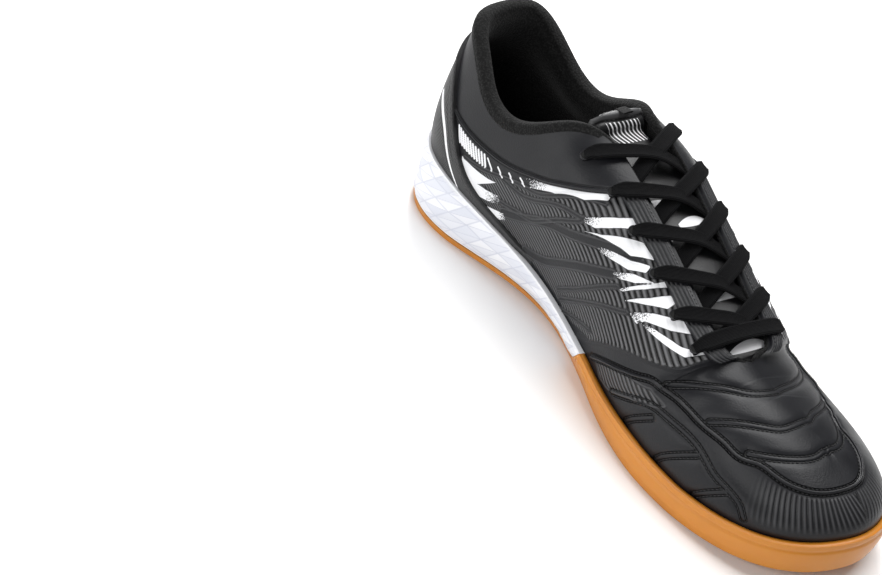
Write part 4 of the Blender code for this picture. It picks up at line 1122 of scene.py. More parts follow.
def shifted_line(line, offset, smooth=True):
    """A line moved sideways over the skin, as fold and rise pairs close together."""
    places, path = dense_line(line, smooth, 24)
    step = 0.01
    high, low = np.clip(places[:, 1] + step, 0, 1), np.clip(places[:, 1] - step, 0, 1)
    fold, rise = places.T
    by_fold = (surface(fold + step, rise) - surface(fold - step, rise)) / (2 * step)
    by_rise = (surface(fold, high) - surface(fold, low)) / (high - low)[:, None]
    along = unit(np.gradient(path, axis=0))
    side = unit(np.cross(unit(np.cross(by_rise, by_fold)), along)) * offset
    moved = []
    for place, f, r, s in zip(places, by_fold, by_rise, side, strict=True):
        change, *_ = np.linalg.lstsq(np.column_stack([f, r]), s, rcond=None)
        moved.append(place + change)
    return np.array(moved)


def evenly(path, pitch):
    """Places of stitch ends along a path, as shares of its index."""
    run = run_along(path)
    count = max(int(run[-1] / pitch), 1)
    return run, (np.arange(count) + 0.25) * run[-1] / count


def stitches_on(path, normals, kind, lift=0.00012):
    """Short capsules along a path of points."""
    run, starts = evenly(path, kind.pitch)
    parts = []
    for start in starts:
        at = start + np.linspace(0, kind.length, 5)
        line = np.column_stack([np.interp(at, run, path[:, i]) for i in range(3)])
        out = unit(np.column_stack([np.interp(at, run, normals[:, i]) for i in range(3)]))
        arch = np.sin(np.linspace(0, np.pi, 5))[:, None]
        line = line + out * (lift * (1 + arch) - kind.radius * 0.6 * (1 - arch))
        radius = kind.radius * np.array([0.35, 0.9, 1.0, 0.9, 0.35])
        parts.append(tube(line, radius, sides=5, ups=out))
    return parts


def stitch_rows(lines, offsets, kind=FINE, smooth=True):
    parts = []
    for line in lines:
        for offset in offsets:
            points, normals = on_skin(shifted_line(line, offset, smooth))
            parts += stitches_on(points, normals, kind)
    return parts


def piping_on(line, radius, offset=0.0, sink=0.35):
    points, normals = on_skin(shifted_line(line, offset), 0)
    return tube(points + normals * radius * (1 - 2 * sink), radius, sides=8, ups=normals)


def build_seams():
    thread = thread_material("black_thread", (0.020, 0.020, 0.022))
    rows = stitch_rows([VAMP_EDGE, *ARCHES, *both(TOE_SEAMS)], (-SEAM_APART * MM, SEAM_APART * MM))
    piece("vamp_stitching", *join(rows), thread, "black_leather")
    piece("vamp_piping", *piping_on(VAMP_EDGE, 0.0006), plain_leather(), "black_leather")
    collar = [piping_on(line, 0.00045) for line in both([COLLAR_SEAM])]
    piece("collar_piping", *join(collar), plain_leather(), "black_leather")


# Heel counter and eyestays
EYESTAY_RIBS = 4


def overlay_net(fold, rise, thickness, border=0.0012):
    """A net lifted off the upper, thinning to its skin at the border."""
    face = surface(fold, rise) + SHIFT
    normal = surface_normal(fold, rise)
    down = np.concatenate([[face[0] * 0], np.diff(face, axis=0)])
    down = np.cumsum(np.linalg.norm(down, axis=-1), axis=0)
    across = np.concatenate([face[:, :1] * 0, np.diff(face, axis=1)], axis=1)
    across = np.cumsum(np.linalg.norm(across, axis=-1), axis=1)
    edge = np.minimum(np.minimum(down, down[-1] - down), np.minimum(across, across[:, -1:] - across))
    lift = thickness * np.sqrt(np.clip(1 - (1 - np.clip(edge / border, 0, 1)) ** 2, 0, 1))
    return face, normal, lift + 2 * GAP * ease(edge, 0, 0.0006) - 0.0004 * (edge < 1e-5), edge, down


def build_counter():
    """Moulded heel counter: ribbed at the back, with a pebbled tape along its front edge and a white line."""
    edge = np.array(COUNTER_EDGE)
    step = 0.03 * SPARSE
    half = np.arange(edge[0, 0], HEEL_FOLD + 1e-6, step)
    fold = np.concatenate([half, RING - half[-2::-1]])
    reach = spline(edge[:, 0], edge[:, 1], np.minimum(fold, RING - fold))
    share = np.linspace(0, 1, 120 // SPARSE)[:, None]
    rise = share * reach[None, :]
    fold = fold[None, :] + 0 * share
    face, normal, lift, _, down = overlay_net(fold, rise, OVERLAY)
    from_top = down[-1] - down
    back = np.minimum(fold, RING - fold)
    tape = ease(from_top, 0.0003, 0.0006) * (1 - ease(from_top, 0.0034, 0.0038)) * ease(back, 15.2, 15.8)
    lift = (lift + 0.0004 * tape) * (0.35 + 0.65 * ease(back, 13.0, 14.0))
    line = np.full(fold.shape, FAR)
    for path in both([COUNTER_LINE]):
        points = dense_line(path, True, 12)[1]
        half_width = np.interp(np.linspace(0, 1, len(points)), (0, 0.5, 1), (0.0014, 0.0009, 0.0004))
        for point, wide in zip(points, half_width, strict=True):
            line = np.minimum(line, np.linalg.norm(face - point, axis=-1) - wide)
    phase = (down + 0.35 * np.abs(face[..., 1])) / 0.0012
    ribs = ease(back, 16.6, 17.0) * ease(from_top, 0.0055, 0.0065) * ease(line, 0.0006, 0.0016)
    values = {"ribs": ribs, "tape": tape, "rib_phase": phase, "print_mm": np.clip(-line / MM, -3, 3)}
    points = face + normal * lift[..., None]
    faces = grid_faces(*fold.shape)[:, ::-1]
    piece("heel_cup", points, faces, moulded_material(), "black_moulded", ["heel_counter"], values)


def build_eyestays():
    """Strips beside the throat with lengthwise ribs and a stitched throat edge."""
    look = plain_leather()
    thread = thread_material("stay_thread", (0.060, 0.060, 0.062))
    for name, side in (("eyestay_medial", 1), ("eyestay_lateral", -1)):
        fold = np.linspace(*EYESTAY_FOLDS, 240 // SPARSE)
        fold = fold if side > 0 else RING - fold
        coarse = np.linspace(fold[0], fold[-1], 24)
        top = np.interp(fold * side, coarse * side, rise_from_top(coarse, 0.0012))
        bottom = np.interp(fold * side, coarse * side, rise_from_top(coarse, 0.0012 + EYESTAY_WIDTH))
        share = np.linspace(0, 1, 64 // SPARSE)[:, None]
        rise = bottom + (top - bottom) * share
        fold = fold[None, :] + 0 * share
        face, normal, lift, border, _ = overlay_net(fold, rise, OVERLAY, 0.0009)
        wave = np.abs(np.sin(np.pi * EYESTAY_RIBS * np.clip(share / 0.74, 0, 1)))
        lift = lift + 0.0004 * (wave**0.7 - 0.7) * (share < 0.74) * ease(border, 0, 0.0008)
        net = face + normal * lift[..., None]
        faces = grid_faces(*fold.shape)
        piece(f"{name}_strip", net, faces if side < 0 else faces[:, ::-1], look, "black_moulded", [name])
        row = int(0.86 * (len(share) - 1))
        parts = stitches_on(net[row], normal[row], FINE)
        piece(f"{name}_stitching", *join(parts), thread, "black_moulded")


# Tongue
Stripe = namedtuple("Stripe", "from_top aside half_length half_width bend")
TONGUE_STRIPES = (
    Stripe(0.0510, -0.0105, 0.0085, 0.0017, 0.0008), Stripe(0.0630, 0.0035, 0.0095, 0.0024, 0.0012),
    Stripe(0.0685, -0.0095, 0.0055, 0.0014, 0.0006), Stripe(0.0990, 0.0005, 0.0110, 0.0022, 0.0016),
    Stripe(0.1235, 0.0010, 0.0130, 0.0026, 0.0020),
)
BADGE_PITCH = 0.0022
BADGE_HALF_WIDTH = 0.0088
BADGE_FROM_TOP = 0.0108
BADGE_ASIDE = 0.002
BADGE_HALF_HEIGHT = 0.0060


def tongue_net():
    """Rows of the crown over which the tongue lies, from under the vamp to its free top."""
    folds = np.linspace(*TONGUE_FOLDS, 12)
    width = TONGUE_HALF_WIDTH * (0.72 + 0.28 * ease(folds, TONGUE_FOLDS[0], 9))
    rows = [crown_line(f, w) for f, w in zip(folds, width, strict=True)]
    climb = unit(np.array(TONGUE_CLIMB))
    across = np.linspace(-1, 1, 11)[:, None]
    for share, narrow in ((0.35, 0.97), (0.7, 0.94), (0.9, 0.91), (1.0, 0.86)):
        centre = rows[11][5] + climb * TONGUE_RISE * share
        swept = np.array([-TONGUE_SWEEP, 0, 0]) * share * across**2
        rows.append(centre + (rows[11] - rows[11][5]) * narrow + swept)
    return np.array(rows) + SHIFT


def refined(net, rows, columns):
    """A net read more finely, smoothly both ways."""
    count = net.shape[0]
    net = spline(np.arange(count), net.reshape(count, -1), np.linspace(0, count - 1, rows))
    net = net.reshape(rows, -1, 3)
    across = net.shape[1]
    turned = net.transpose(1, 0, 2).reshape(across, -1)
    fine = spline(np.arange(across), turned, np.linspace(0, across - 1, columns))
    return fine.reshape(columns, rows, 3).transpose(1, 0, 2)


def outward(normals):
    """Normals of the tongue turned forward and up."""
    return normals * np.where(normals @ unit(np.array([0.6, 0, 0.8])) < 0, -1, 1)[..., None]


def tongue_faces():
    """Upper and lower face of the tongue as fine nets, with the normals between them."""
    net = tongue_net()
    normal = outward(net_normals(net))
    normal[12:] = normal[11]
    folds = np.minimum(np.arange(len(net)) / 11, 1) * (TONGUE_FOLDS[1] - TONGUE_FOLDS[0]) + TONGUE_FOLDS[0]
    depth = WALL + COLLAR_PAD * np.clip(fold_values(folds + 1)["pad"], 0, 1) + TONGUE_CLEARANCE
    depth += TONGUE_CLEARANCE * 0.6 * ease(folds, 11, 13)
    top = refined(net - normal * depth[:, None, None], 190 // SPARSE, 110 // SPARSE)
    return top, outward(net_normals(top))


def border_of(net):
    """How far each point of a net is from its nearer side, from its far end, and along its row."""
    across = np.linalg.norm(np.diff(net, axis=1, prepend=net[:, :1]), axis=-1).cumsum(axis=1)
    along = np.linalg.norm(np.diff(net, axis=0, prepend=net[:1]), axis=-1).cumsum(axis=0)
    return np.minimum(across, across[:, -1:] - across), along[-1] - along, across


def build_tongue():
    """Padded tongue with rounded edges, a bound top and a stitched border."""
    top, normal = tongue_faces()
    side, end, across = border_of(top)
    edge = np.minimum(side, end)
    round_edge = TONGUE_THICKNESS / 2
    bulge = np.sqrt(np.clip(1 - (1 - np.clip(edge / round_edge, 0, 1)) ** 2, 0, 1))
    groove = 0.0007 * np.exp(-(((edge - 0.0042) / 0.0009) ** 2))
    middle = top - normal * round_edge
    upper = middle + normal * (round_edge * bulge - groove)[..., None]
    lower = middle - normal * (round_edge * bulge)[..., None]
    rows, columns = top.shape[:2]
    faces = grid_faces(rows, columns)
    points = np.vstack([upper.reshape(-1, 3), lower.reshape(-1, 3)])
    faces = np.vstack([faces, faces[:, ::-1] + rows * columns])
    centre = across[:, -1:] / 2
    u, v = across - centre - BADGE_ASIDE, end - BADGE_FROM_TOP
    slanted = u - 0.45 * v
    badge = np.minimum(BADGE_HALF_WIDTH - np.abs(slanted), BADGE_HALF_HEIGHT - np.abs(v))
    stripes = np.full(top.shape[:2], -3.0)
    for stripe in TONGUE_STRIPES:
        aside = (across - centre - stripe.aside) / stripe.half_length
        middle_line = stripe.from_top + stripe.bend * aside**2
        wide = stripe.half_width * np.clip(1 - aside**2, -1, 1)
        stripes = np.maximum(stripes, (wide - np.abs(end - middle_line)) / MM)
    binding = 0.9 * ease(0.0036 - end, 0, 0.0005)
    fields = {
        "badge_run": slanted / BADGE_PITCH,
        "badge_mm": badge / MM,
        "binding": binding,
        "stripe_mm": stripes,
    }
    values = {
        key: np.concatenate([field.ravel(), field.ravel() * (key == "binding")])
        for key, field in fields.items()
    }
    tongue = piece("tongue_pad", points, faces, tongue_material(), "black_leather", ["tongue"], values)
    thread = thread_material("tongue_thread", (0.003, 0.003, 0.003))
    columns_at = np.argmin(np.abs(end[:, columns // 2] - 0.0036))
    span = slice(22 // SPARSE, -22 // SPARSE)
    parts = stitches_on(upper[columns_at, span], normal[columns_at, span], Stitching(0.0021, 0.0014, 0.00026))
    piece("tongue_stitching", *join(parts), thread, "black_leather")
    build_loop(upper, normal, rows, columns)


def build_loop(upper, normal, rows, columns):
    """Small woven tab at the middle of the tongue's top edge."""
    middle = columns // 2
    tip = upper[-1, middle]
    back = upper[int(rows * 0.965), middle]
    out = unit(tip - back)
    rise = normal[-4, middle]
    at = np.linspace(-1, 1, 21)[:, None]
    path = tip + out * (0.0034 * (1 - at**2) - 0.0026) + rise * at * 0.0020
    points, faces, *_ = ribbon(path, np.tile(np.cross(out, rise), (21, 1)), 0.0055, 0.0010)
    look = knit_material("loop_webbing", (0.006, 0.006, 0.006), (0.020, 0.020, 0.020), 0.6 * MM)
    piece("tongue_loop", points, faces, look, "black_textile")


# Lace
LACE_RIDGES = 4
RIDGE = 0.00022
LACE_SAMPLES = 56 // SPARSE
LACE_REACH = 0.29
LACE_LIFT = 0.0004
LACE_TUCK = 0.0030


def ribbon(path, across, width, thickness, ridges=0):
    """A flat cord along a path: its points, faces, and how far along and across each point is, in mm."""
    path, across = np.asarray(path, float), unit(across)
    along = unit(np.gradient(path, axis=0))
    across = unit(across - along * np.einsum("ij,ij->i", across, along)[:, None])
    up = np.cross(across, along)
    turn = np.linspace(0, 2 * np.pi, 29)[:-1]
    wide = np.sign(np.cos(turn)) * np.abs(np.cos(turn)) ** 0.55 / 2
    thick = np.sign(np.sin(turn)) * np.abs(np.sin(turn)) ** 0.45 / 2
    ripple = RIDGE * np.cos(2 * np.pi * ridges * (wide + 0.5)) * -1 * (ridges > 0) * np.sign(thick)
    width = np.broadcast_to(np.asarray(width, float), (len(path),))[:, None, None]
    depth = np.broadcast_to(np.asarray(thickness, float), (len(path),))[:, None, None]
    lift = thick[None, :, None] * depth + ripple[None, :, None] * np.minimum(width / LACE_WIDTH, 1)
    points = path[:, None] + across[:, None] * wide[None, :, None] * width + up[:, None] * lift
    faces = grid_faces(len(path), len(turn), wrap=True)
    run = run_along(path)
    run = np.repeat(run[:, None], len(turn), axis=1)
    side = np.broadcast_to(wide[None, :], run.shape) * width[..., 0]
    return points.reshape(-1, 3), faces[:, ::-1], run / MM, side / MM


def beside_throat(inset, step=0.02):
    """Points, normals and climbing directions under the throat's edge at each eyelet, by row and side."""
    fold = np.array(EYELET_FOLDS)
    places = np.column_stack([fold, RING - fold])
    rises = rise_from_top(places, inset)
    by_fold = surface(places + step, rises) - surface(places - step, rises)
    by_rise = surface(places, rises + step) - surface(places, rises - step)
    return surface(places, rises) + SHIFT, unit(np.cross(by_rise, by_fold)), unit(by_rise)


def over_skin(way, normal, climb):
    """Unit direction in the skin's plane, mostly the way given, and a little up the skin."""
    flat = unit(way - normal * (way @ normal))
    return unit(flat + 0.25 * climb)


def under_edge():
    """Points just under the throat's edge beside each eyelet, where the lace goes in below the eyestay."""
    points, normals, _ = beside_throat(LACE_TUCK)
    fold = np.array(EYELET_FOLDS)
    pad = np.clip(fold_values(np.column_stack([fold, RING - fold]))["pad"], 0, 1)
    return points - normals * (WALL + COLLAR_PAD * pad + LACE_THICKNESS * 0.5)[..., None]


def lifted_off(path, net, out, clearance):
    """A path pushed away from a surface until it lies clear of it, and smoothed."""
    net, out = net.reshape(-1, 3), out.reshape(-1, 3)
    closest = np.linalg.norm(path[:, None] - net[None], axis=2).argmin(axis=1)
    height = np.einsum("ij,ij->i", path - net[closest], out[closest])
    push = np.maximum(clearance - height, 0)
    push[-4:] *= np.linspace(0.8, 0.2, 4)
    moved = path + out[closest] * push[:, None]
    for _ in range(6):
        moved[1:-1] = moved[:-2] * 0.25 + moved[1:-1] * 0.5 + moved[2:] * 0.25
    return moved


def lace_path(ends, normals, climbs, over, tongue):
    """A run of lace out of an eyelet, over the tongue, to an eyelet or in under the throat's edge."""
    seat = OVERLAY + 2 * GAP + LACE_THICKNESS * 0.55
    t = np.linspace(0, 1, LACE_SAMPLES)[:, None]
    tucked = over != 0
    start, end = ends[0] + normals[0] * seat, ends[1] + normals[1] * (0 if tucked else seat)
    reach = np.linalg.norm(end - start) * LACE_REACH
    leaves = [over_skin(end - start, normals[0], climbs[0]), over_skin(start - end, normals[1], climbs[1])]
    low, high = start + leaves[0] * reach, end + leaves[1] * reach
    path = bezier(start, low, high, end, t)
    path[:, 2:] += 4 * t * (1 - t) * LACE_LIFT
    path = lifted_off(path, *tongue, LACE_THICKNESS * (0.62 if over >= 0 else 0.5))
    hump = np.exp(-(((t - 0.6) / 0.17) ** 2)) * LACE_THICKNESS * 0.75 * max(over, 0)
    lean = normals[0] * (1 - t) + normals[1] * t + np.array([0, 0, 2.0]) * t * (1 - t)
    path = path + unit(lean) * hump
    run = run_along(path)[:, None]
    left = run[-1] - run
    for index, gap in ((0, run), (1, left))[: 1 if tucked else 2]:
        path = path - leaves[index] * 0.0012 * soft_step(gap, 0.004)
        path = path - normals[index] * 0.0038 * (1 - np.clip(gap / 0.0030, 0, 1)) ** 1.6
    near_hole = run if tucked else np.minimum(run, left)
    squeeze = 0.58 + 0.42 * ease(near_hole[:, 0], 0.0002, 0.0065)
    return path, unit(lean), squeeze


def build_lace():
    """Crossings that tuck in under the far eyestay, and the bottom bar."""
    points, normals, climbs = beside_throat(EYELET_INSET)
    tucks = under_edge()
    tongue = [found[:: 3 // SPARSE, :: 3 // SPARSE] for found in tongue_faces()]
    rows = len(EYELET_FOLDS)
    runs = [
        ((row, side), (row + 1, 1 - side), 1 if side == 0 else -1)
        for row in range(rows - 1)
        for side in (0, 1)
    ]
    runs.append(((rows - 1, 0), (rows - 1, 1), 0))
    parts, run_mm, across_mm = [], [], []
    for start, end, over in runs:
        pair = [(found[start], found[end]) for found in (normals, climbs)]
        reached = tucks[end] if over else points[end]
        path, lean, squeeze = lace_path((points[start], reached), *pair, over, tongue)
        along = unit(np.gradient(path, axis=0))
        found = ribbon(path, np.cross(lean, along), LACE_WIDTH * squeeze,
                       LACE_THICKNESS * (0.8 + 0.75 * (1 - squeeze)), LACE_RIDGES)
        parts.append(found[:2])
        run_mm.append(found[2].ravel())
        across_mm.append(found[3].ravel())
    values = {"run_mm": np.concatenate(run_mm), "across_mm": np.concatenate(across_mm)}
    piece("lace_cord", *join(parts), lace_material(), "black_cord", ["lace"], values)
    build_holes(points, normals)


def build_holes(points, normals):
    """A pressed rim at each eyelet, with a dark disc inside it as painted shade for the hole."""
    rims, shade_discs = [], []
    turn = np.arange(24) / 24 * 2 * np.pi
    for point, normal in zip(points.reshape(-1, 3), normals.reshape(-1, 3), strict=True):
        u = unit(np.cross(normal, (0, 1, 0)))
        v = np.cross(normal, u)
        ring = u * np.cos(turn)[:, None] + v * np.sin(turn)[:, None]
        centre = point + normal * (2 * GAP + OVERLAY * 0.9)
        rims.append(tube(centre + ring * EYELET_RADIUS * 1.12, 0.00035, sides=6, closed=True))
        # A flat near-black disc painted as the shade inside the hole. The eyestay under it is not cut.
        disc = np.vstack([centre + ring * EYELET_RADIUS * 1.05, centre + ring * EYELET_RADIUS * 0.02])
        shade_discs.append((disc + normal * 0.0001, grid_faces(2, 24, wrap=True)))
    piece("eyelet_rims", *join(rims), plain_leather(), "black_leather")
    disc_shade = Nodes("eyelet_shade_disc_look", (0.001, 0.001, 0.001), 0.9)
    disc_shade.set("Base Color", disc_shade.mix(disc_shade.noise(1 * MM), (0.0005, 0.0005, 0.0005), (0.002, 0.002, 0.002)))
    piece("eyelet_shade_discs", *join(shade_discs), disc_shade.made, "black_textile")


# Sole
SOLE_COLUMNS = 1200 // SPARSE
SOLE_AT = np.arange(SOLE_COLUMNS) * 2 / SOLE_COLUMNS
SHARD_LENGTH = 0.011
SHARD_HEIGHT = 0.0085
SHARD_DEPTH = 0.0009


def wall_point(place, share):
    """Side wall of the sole at a place on the ring, from the tread's edge (0) to the rim (1)."""
    tread, edge = on_outline(TREAD_OUTLINE, place), on_outline(EDGE_OUTLINE, place)
    out = -inward(EDGE_OUTLINE, place)
    flat = tread + (edge - tread) * ease(share, 0, 1)[..., None]
    flat = flat + out * (0.0012 * np.sin(np.pi * share))[..., None]
    base = tread_height(flat[..., 0])
    height = base + (edge_height(edge[..., 0]) - base) * share
    return lifted(flat, height) + SHIFT, lifted(out, 0 * out[..., 0])


def gum_share(place):
    """Share of the side wall that is gum."""
    x = on_outline(EDGE_OUTLINE, place)[..., 0]
    whole = edge_height(x) - tread_height(x)
    return np.clip((gum_height(x) - tread_height(x)) / whole, 0, 1)


def lattice_noise(u, v):
    """A number between -1 and 1 for whole-number places, the same each run."""
    wave = np.sin(u * 127.1 + v * 311.7) * 43758.5453
    return 2 * (wave - np.floor(wave)) - 1


def shards(run, height):
    """Flat slanted triangles: relief in shares of its depth, a tint for each, and how near an edge is."""
    u = (run + 0.9 * height) / SHARD_LENGTH
    v = height / SHARD_HEIGHT
    u0, v0 = np.floor(u), np.floor(v)
    fu, fv = u - u0, v - v0
    upper = fu + fv > 1
    far = lattice_noise(u0 + 1, v0 + 1)
    one, other = lattice_noise(u0 + 1, v0), lattice_noise(u0, v0 + 1)
    low = lattice_noise(u0, v0) * (1 - fu - fv) + one * fu + other * fv
    high = far * (fu + fv - 1) + other * (1 - fu) + one * (1 - fv)
    tint = 0.5 + 0.5 * lattice_noise(u0 * 2 + upper, v0 + 17)
    edge = np.minimum.reduce([fu, fv, np.abs(1 - fu - fv), 1 - fu, 1 - fv])
    return np.where(upper, high, low), tint, soft_step(edge * SHARD_HEIGHT, 0.0005)


def rim_rows(place, top):
    """Rows from the top of the wall over the rim and down into the cup."""
    out = -inward(EDGE_OUTLINE, place)
    out = lifted(out, 0 * out[..., 0])
    rows = []
    for turn in np.linspace(0.2, 1, 5) * np.pi / 2:
        over = np.array([0, 0, 0.0006]) * (np.sin(turn) - 1)
        rows.append(top - out * RIM * 0.5 * (1 - np.cos(turn)) + over)
    flat = top - out * RIM
    inner = flat - out * 0.0011
    x = inner[..., 0] - SHIFT[0]
    inner = lifted(inner[..., :2], np.minimum(seat_height(x), top[..., 2]))
    return [*rows, flat, inner]


def build_midsole():
    """White foam wall with slanted facets, from the gum up to the rim."""
    share = gum_share(SOLE_AT)
    shown = np.flatnonzero(share < 0.985)
    columns = np.concatenate([[shown[0] - 1], shown, [shown[-1] + 1]])
    place = SOLE_AT[columns]
    low = np.clip(share[columns], 0, 0.999)
    rows = 64 // SPARSE
    at = low + (1 - low) * np.linspace(0, 1, rows)[:, None]
    places = place[None, :] + 0 * at
    points, out = wall_point(places, at)
    run = run_along(points[0, :, :2])[None, :]
    rise = points[..., 2] - points[:1, :, 2]
    height = points[-1:, :, 2] - points[:1, :, 2]
    border = np.minimum(rise, height - rise)
    fade = ease(border, 0.0002, 0.0022) * ease(height, 0.001, 0.008)
    step = 0.0004 * (1 - ease(rise, 0, 0.0005))
    relief, tint, crease = shards(run, points[..., 2])
    depth = SHARD_DEPTH * relief * fade - step
    wall = points + out * depth[..., None]
    wall[0, :, 2] += GAP
    net = np.stack([*wall, *rim_rows(place, wall[-1])])
    faces = grid_faces(len(net), len(place))[:, ::-1]
    plain = np.zeros((len(net) - rows, len(place)))
    # facet gives each shard a random tint, and crease marks the shard edges, where the material paints shade.
    values = {"facet": np.vstack([tint * fade, plain]), "crease": np.vstack([crease * fade, plain])}
    piece("midsole_foam", net, faces, foam_material(), "white_foam", ["midsole"], values, creases=24)


def build_outsole():
    """Gum wall, rim in front, and the tread with its bars."""
    share = gum_share(SOLE_AT)
    rows = 30 // SPARSE
    at = share[None, :] * np.linspace(0, 1, rows)[:, None]
    points, out = wall_point(SOLE_AT[None, :] + 0 * at, at)
    points[0] += (points[1] - points[0]) * 0.3
    bottom = level_sole(0.0022)
    rise = points[..., 2] - points[0, :, 2]
    total = points[-1:, :, 2] - points[:1, :, 2]
    seam = 0.0005 * np.exp(-(((total - rise - 0.0032) / 0.0006) ** 2)) * ease(total, 0.006, 0.010)
    points = points - out * seam[..., None]
    net = [*points, *rim_rows(SOLE_AT, points[-1])]
    net = np.stack([bottom, *net])
    look = gum_material()
    faces = grid_faces(len(net), SOLE_COLUMNS, wrap=True)[:, ::-1]
    piece("gum_wall", net, faces, look, "gum_rubber", ["outsole"], {"groove": np.zeros(net.shape[:2])})
    build_tread(look)


def level_sole(inset):
    flat = on_outline(TREAD_OUTLINE, SOLE_AT) + inward(TREAD_OUTLINE, SOLE_AT) * inset
    return np.column_stack([flat, tread_height(flat[:, 0])]) + SHIFT


TREAD_CARVE = 0.0014
LINE_CARVE = 0.0016
TREAD_BORDER = 0.0075


def sole_distance(points):
    """Distance in from the tread's outline for points of x and y, negative outside it."""
    _, outline = TREAD_OUTLINE
    outline = outline[::6]
    found = np.empty(len(points))
    for start in range(0, len(points), 4000):
        block = points[start : start + 4000]
        found[start : start + 4000] = np.sqrt(((block[:, None] - outline[None]) ** 2).sum(axis=2)).min(axis=1)
    return np.where(within_outline(points, outline), found, -found)


def within_outline(points, outline):
    """Whether points of x and y lie inside a closed outline."""
    x, y = points[:, 0], points[:, 1]
    within = np.zeros(len(points), bool)
    for (x0, y0), (x1, y1) in zip(outline, np.roll(outline, -1, axis=0), strict=True):
        crosses = (y0 > y) != (y1 > y)
        within ^= crosses & (x < x0 + (y - y0) / (y1 - y0 if y1 != y0 else 1e-9) * (x1 - x0))
    return within


def line_gap(points, line, closed=False):
    path = np.array([*line, line[0]] if closed else line) * (SOLE_LENGTH, BALL_WIDTH)
    best = np.full(len(points), np.inf)
    for start, end in zip(path[:-1], path[1:], strict=True):
        leg = end - start
        share = np.clip((points - start) @ leg / (leg @ leg), 0, 1)
        best = np.minimum(best, np.linalg.norm(points - start - share[:, None] * leg, axis=1))
    return best


def line_x(line, y):
    """Where a tread line lies along the shoe at a place across it."""
    points = np.array(sorted((b * BALL_WIDTH, a * SOLE_LENGTH) for a, b in line))
    return np.interp(y, points[:, 0], points[:, 1])


def treaded(points):
    """Where the fine bars stand: the forefoot and the heel, clear of the chevron, shank and border."""
    x, y = points[:, 0], points[:, 1]
    clear = (line_gap(points, CHEVRON) > 0.0045) & (sole_distance(points) > TREAD_BORDER)
    return ((x > line_x(SHANK_FRONT, y) + 0.012 + 0.028) | (x < line_x(SHANK_REAR, y) - 0.004)) & clear


def build_tread(look):
    """The tread's face, carved back between its bars, and the bars."""
    place = SOLE_AT[:: 2 // SPARSE]
    outer = on_outline(TREAD_OUTLINE, place) + inward(TREAD_OUTLINE, place) * 0.0022
    count = len(place)
    other = (-np.arange(count)) % count
    middle = (outer + outer[other]) / 2
    rows = 56 // SPARSE
    net = outer[None] + (middle - outer)[None] * np.linspace(0, 1, rows)[:, None, None]
    flat = net.reshape(-1, 2)
    carve = TREAD_CARVE * treaded(flat).astype(float)
    grooves = np.minimum(line_gap(flat, SHANK_FRONT), line_gap(flat, SHANK_REAR))
    grooves = np.minimum(grooves, line_gap(flat, SHANK_MARK, True))
    lines = 1 - ease(grooves, 0.0005, 0.0011)
    wide = 1 - ease(line_gap(flat, CHEVRON), 0.0020, 0.0030)
    carve = np.maximum(carve, LINE_CARVE * np.maximum(lines, wide))
    points = np.column_stack([flat, tread_height(flat[:, 0]) + carve]) + SHIFT
    faces = grid_faces(rows, count, wrap=True)
    # Where the gum material paints shade: the carved lines, the chevron and the carved field between the bars.
    groove = np.maximum(np.maximum(lines, wide), 0.7 * (carve > 0.001))
    piece("tread_face", points, faces, look, "gum_rubber", values={"groove": groove}, creases=35)
    bars = tread_bars()
    piece("tread_bars", *bars, look, "gum_rubber", values={"groove": np.zeros(len(bars[0]))}, creases=30)


BAR_LENGTH = 0.0050
BAR_WIDTH = 0.0026
BAR_PITCH = (0.0070, 0.0040)
TOE_BAR_TURN = 32


def tread_bars():
    """Short bars in rows: slanted ahead of the chevron, and lengthwise behind it and under the heel."""
    parts = []
    for x in np.arange(0.0, SOLE_LENGTH, BAR_PITCH[0]):
        for number, y in enumerate(np.arange(-BALL_WIDTH * 0.55, BALL_WIDTH * 0.55, BAR_PITCH[1])):
            centre = np.array([x + (number % 2) * BAR_PITCH[0] / 2, y])
            ahead = centre[0] > line_x(CHEVRON, centre[1])
            turn = np.radians(TOE_BAR_TURN if ahead else 0) * (1 if centre[1] > 0 else -1)
            along = np.array([np.cos(turn), np.sin(turn)])
            across = np.array([-along[1], along[0]])
            corners = [centre + along * BAR_LENGTH / 2 * a + across * BAR_WIDTH / 2 * b
                       for a, b in ((-1, -1), (1, -1), (1, 1), (-1, 1))]
            if not treaded(np.array([*corners, centre])).all():
                continue
            parts.append(bar(np.array(corners), centre))
    return join(parts)


def bar(corners, centre):
    """One bar with sloping sides that stands down to the tread's face."""
    face = centre + (corners - centre) * 0.86
    base_height = tread_height(corners[:, 0]) + TREAD_CARVE * 1.15
    tip = np.column_stack([face, tread_height(face[:, 0])])
    points = np.vstack([np.column_stack([corners, base_height]), tip])
    faces = [[4, 7, 6, 5], *([i, i + 4, (i + 1) % 4 + 4, (i + 1) % 4] for i in range(4))]
    return points + SHIFT, np.array(faces)


def build_insole():
    """Sock liner that dishes up a little at its edge."""
    fold = np.arange(RING * 8) / 8
    inset = RIM + 0.0011 + GAP + WALL + INSOLE_CLEARANCE
    outer = level_row(inset, seat_height, fold, GAP)
    count = len(fold)
    middle = (outer + outer[(-np.arange(count)) % count]) / 2
    rows = [outer, outer + (0, 0, INSOLE_THICKNESS * 0.8)]
    for share in np.linspace(0.06, 1, 16):
        row = outer + (middle - outer) * share
        thick = INSOLE_THICKNESS * (1.0 - 0.15 * ease(share, 0, 0.5))
        row[:, 2] = seat_height(row[:, 0] - SHIFT[0]) + GAP + thick
        rows.append(row)
    look = knit_material("sock_liner_cloth", (0.006, 0.006, 0.006), (0.022, 0.022, 0.023), 0.7 * MM)
    faces = grid_faces(len(rows), count, wrap=True)[:, ::-1]
    piece("sock_liner", np.stack(rows), faces, look, "black_textile", ["insole"])


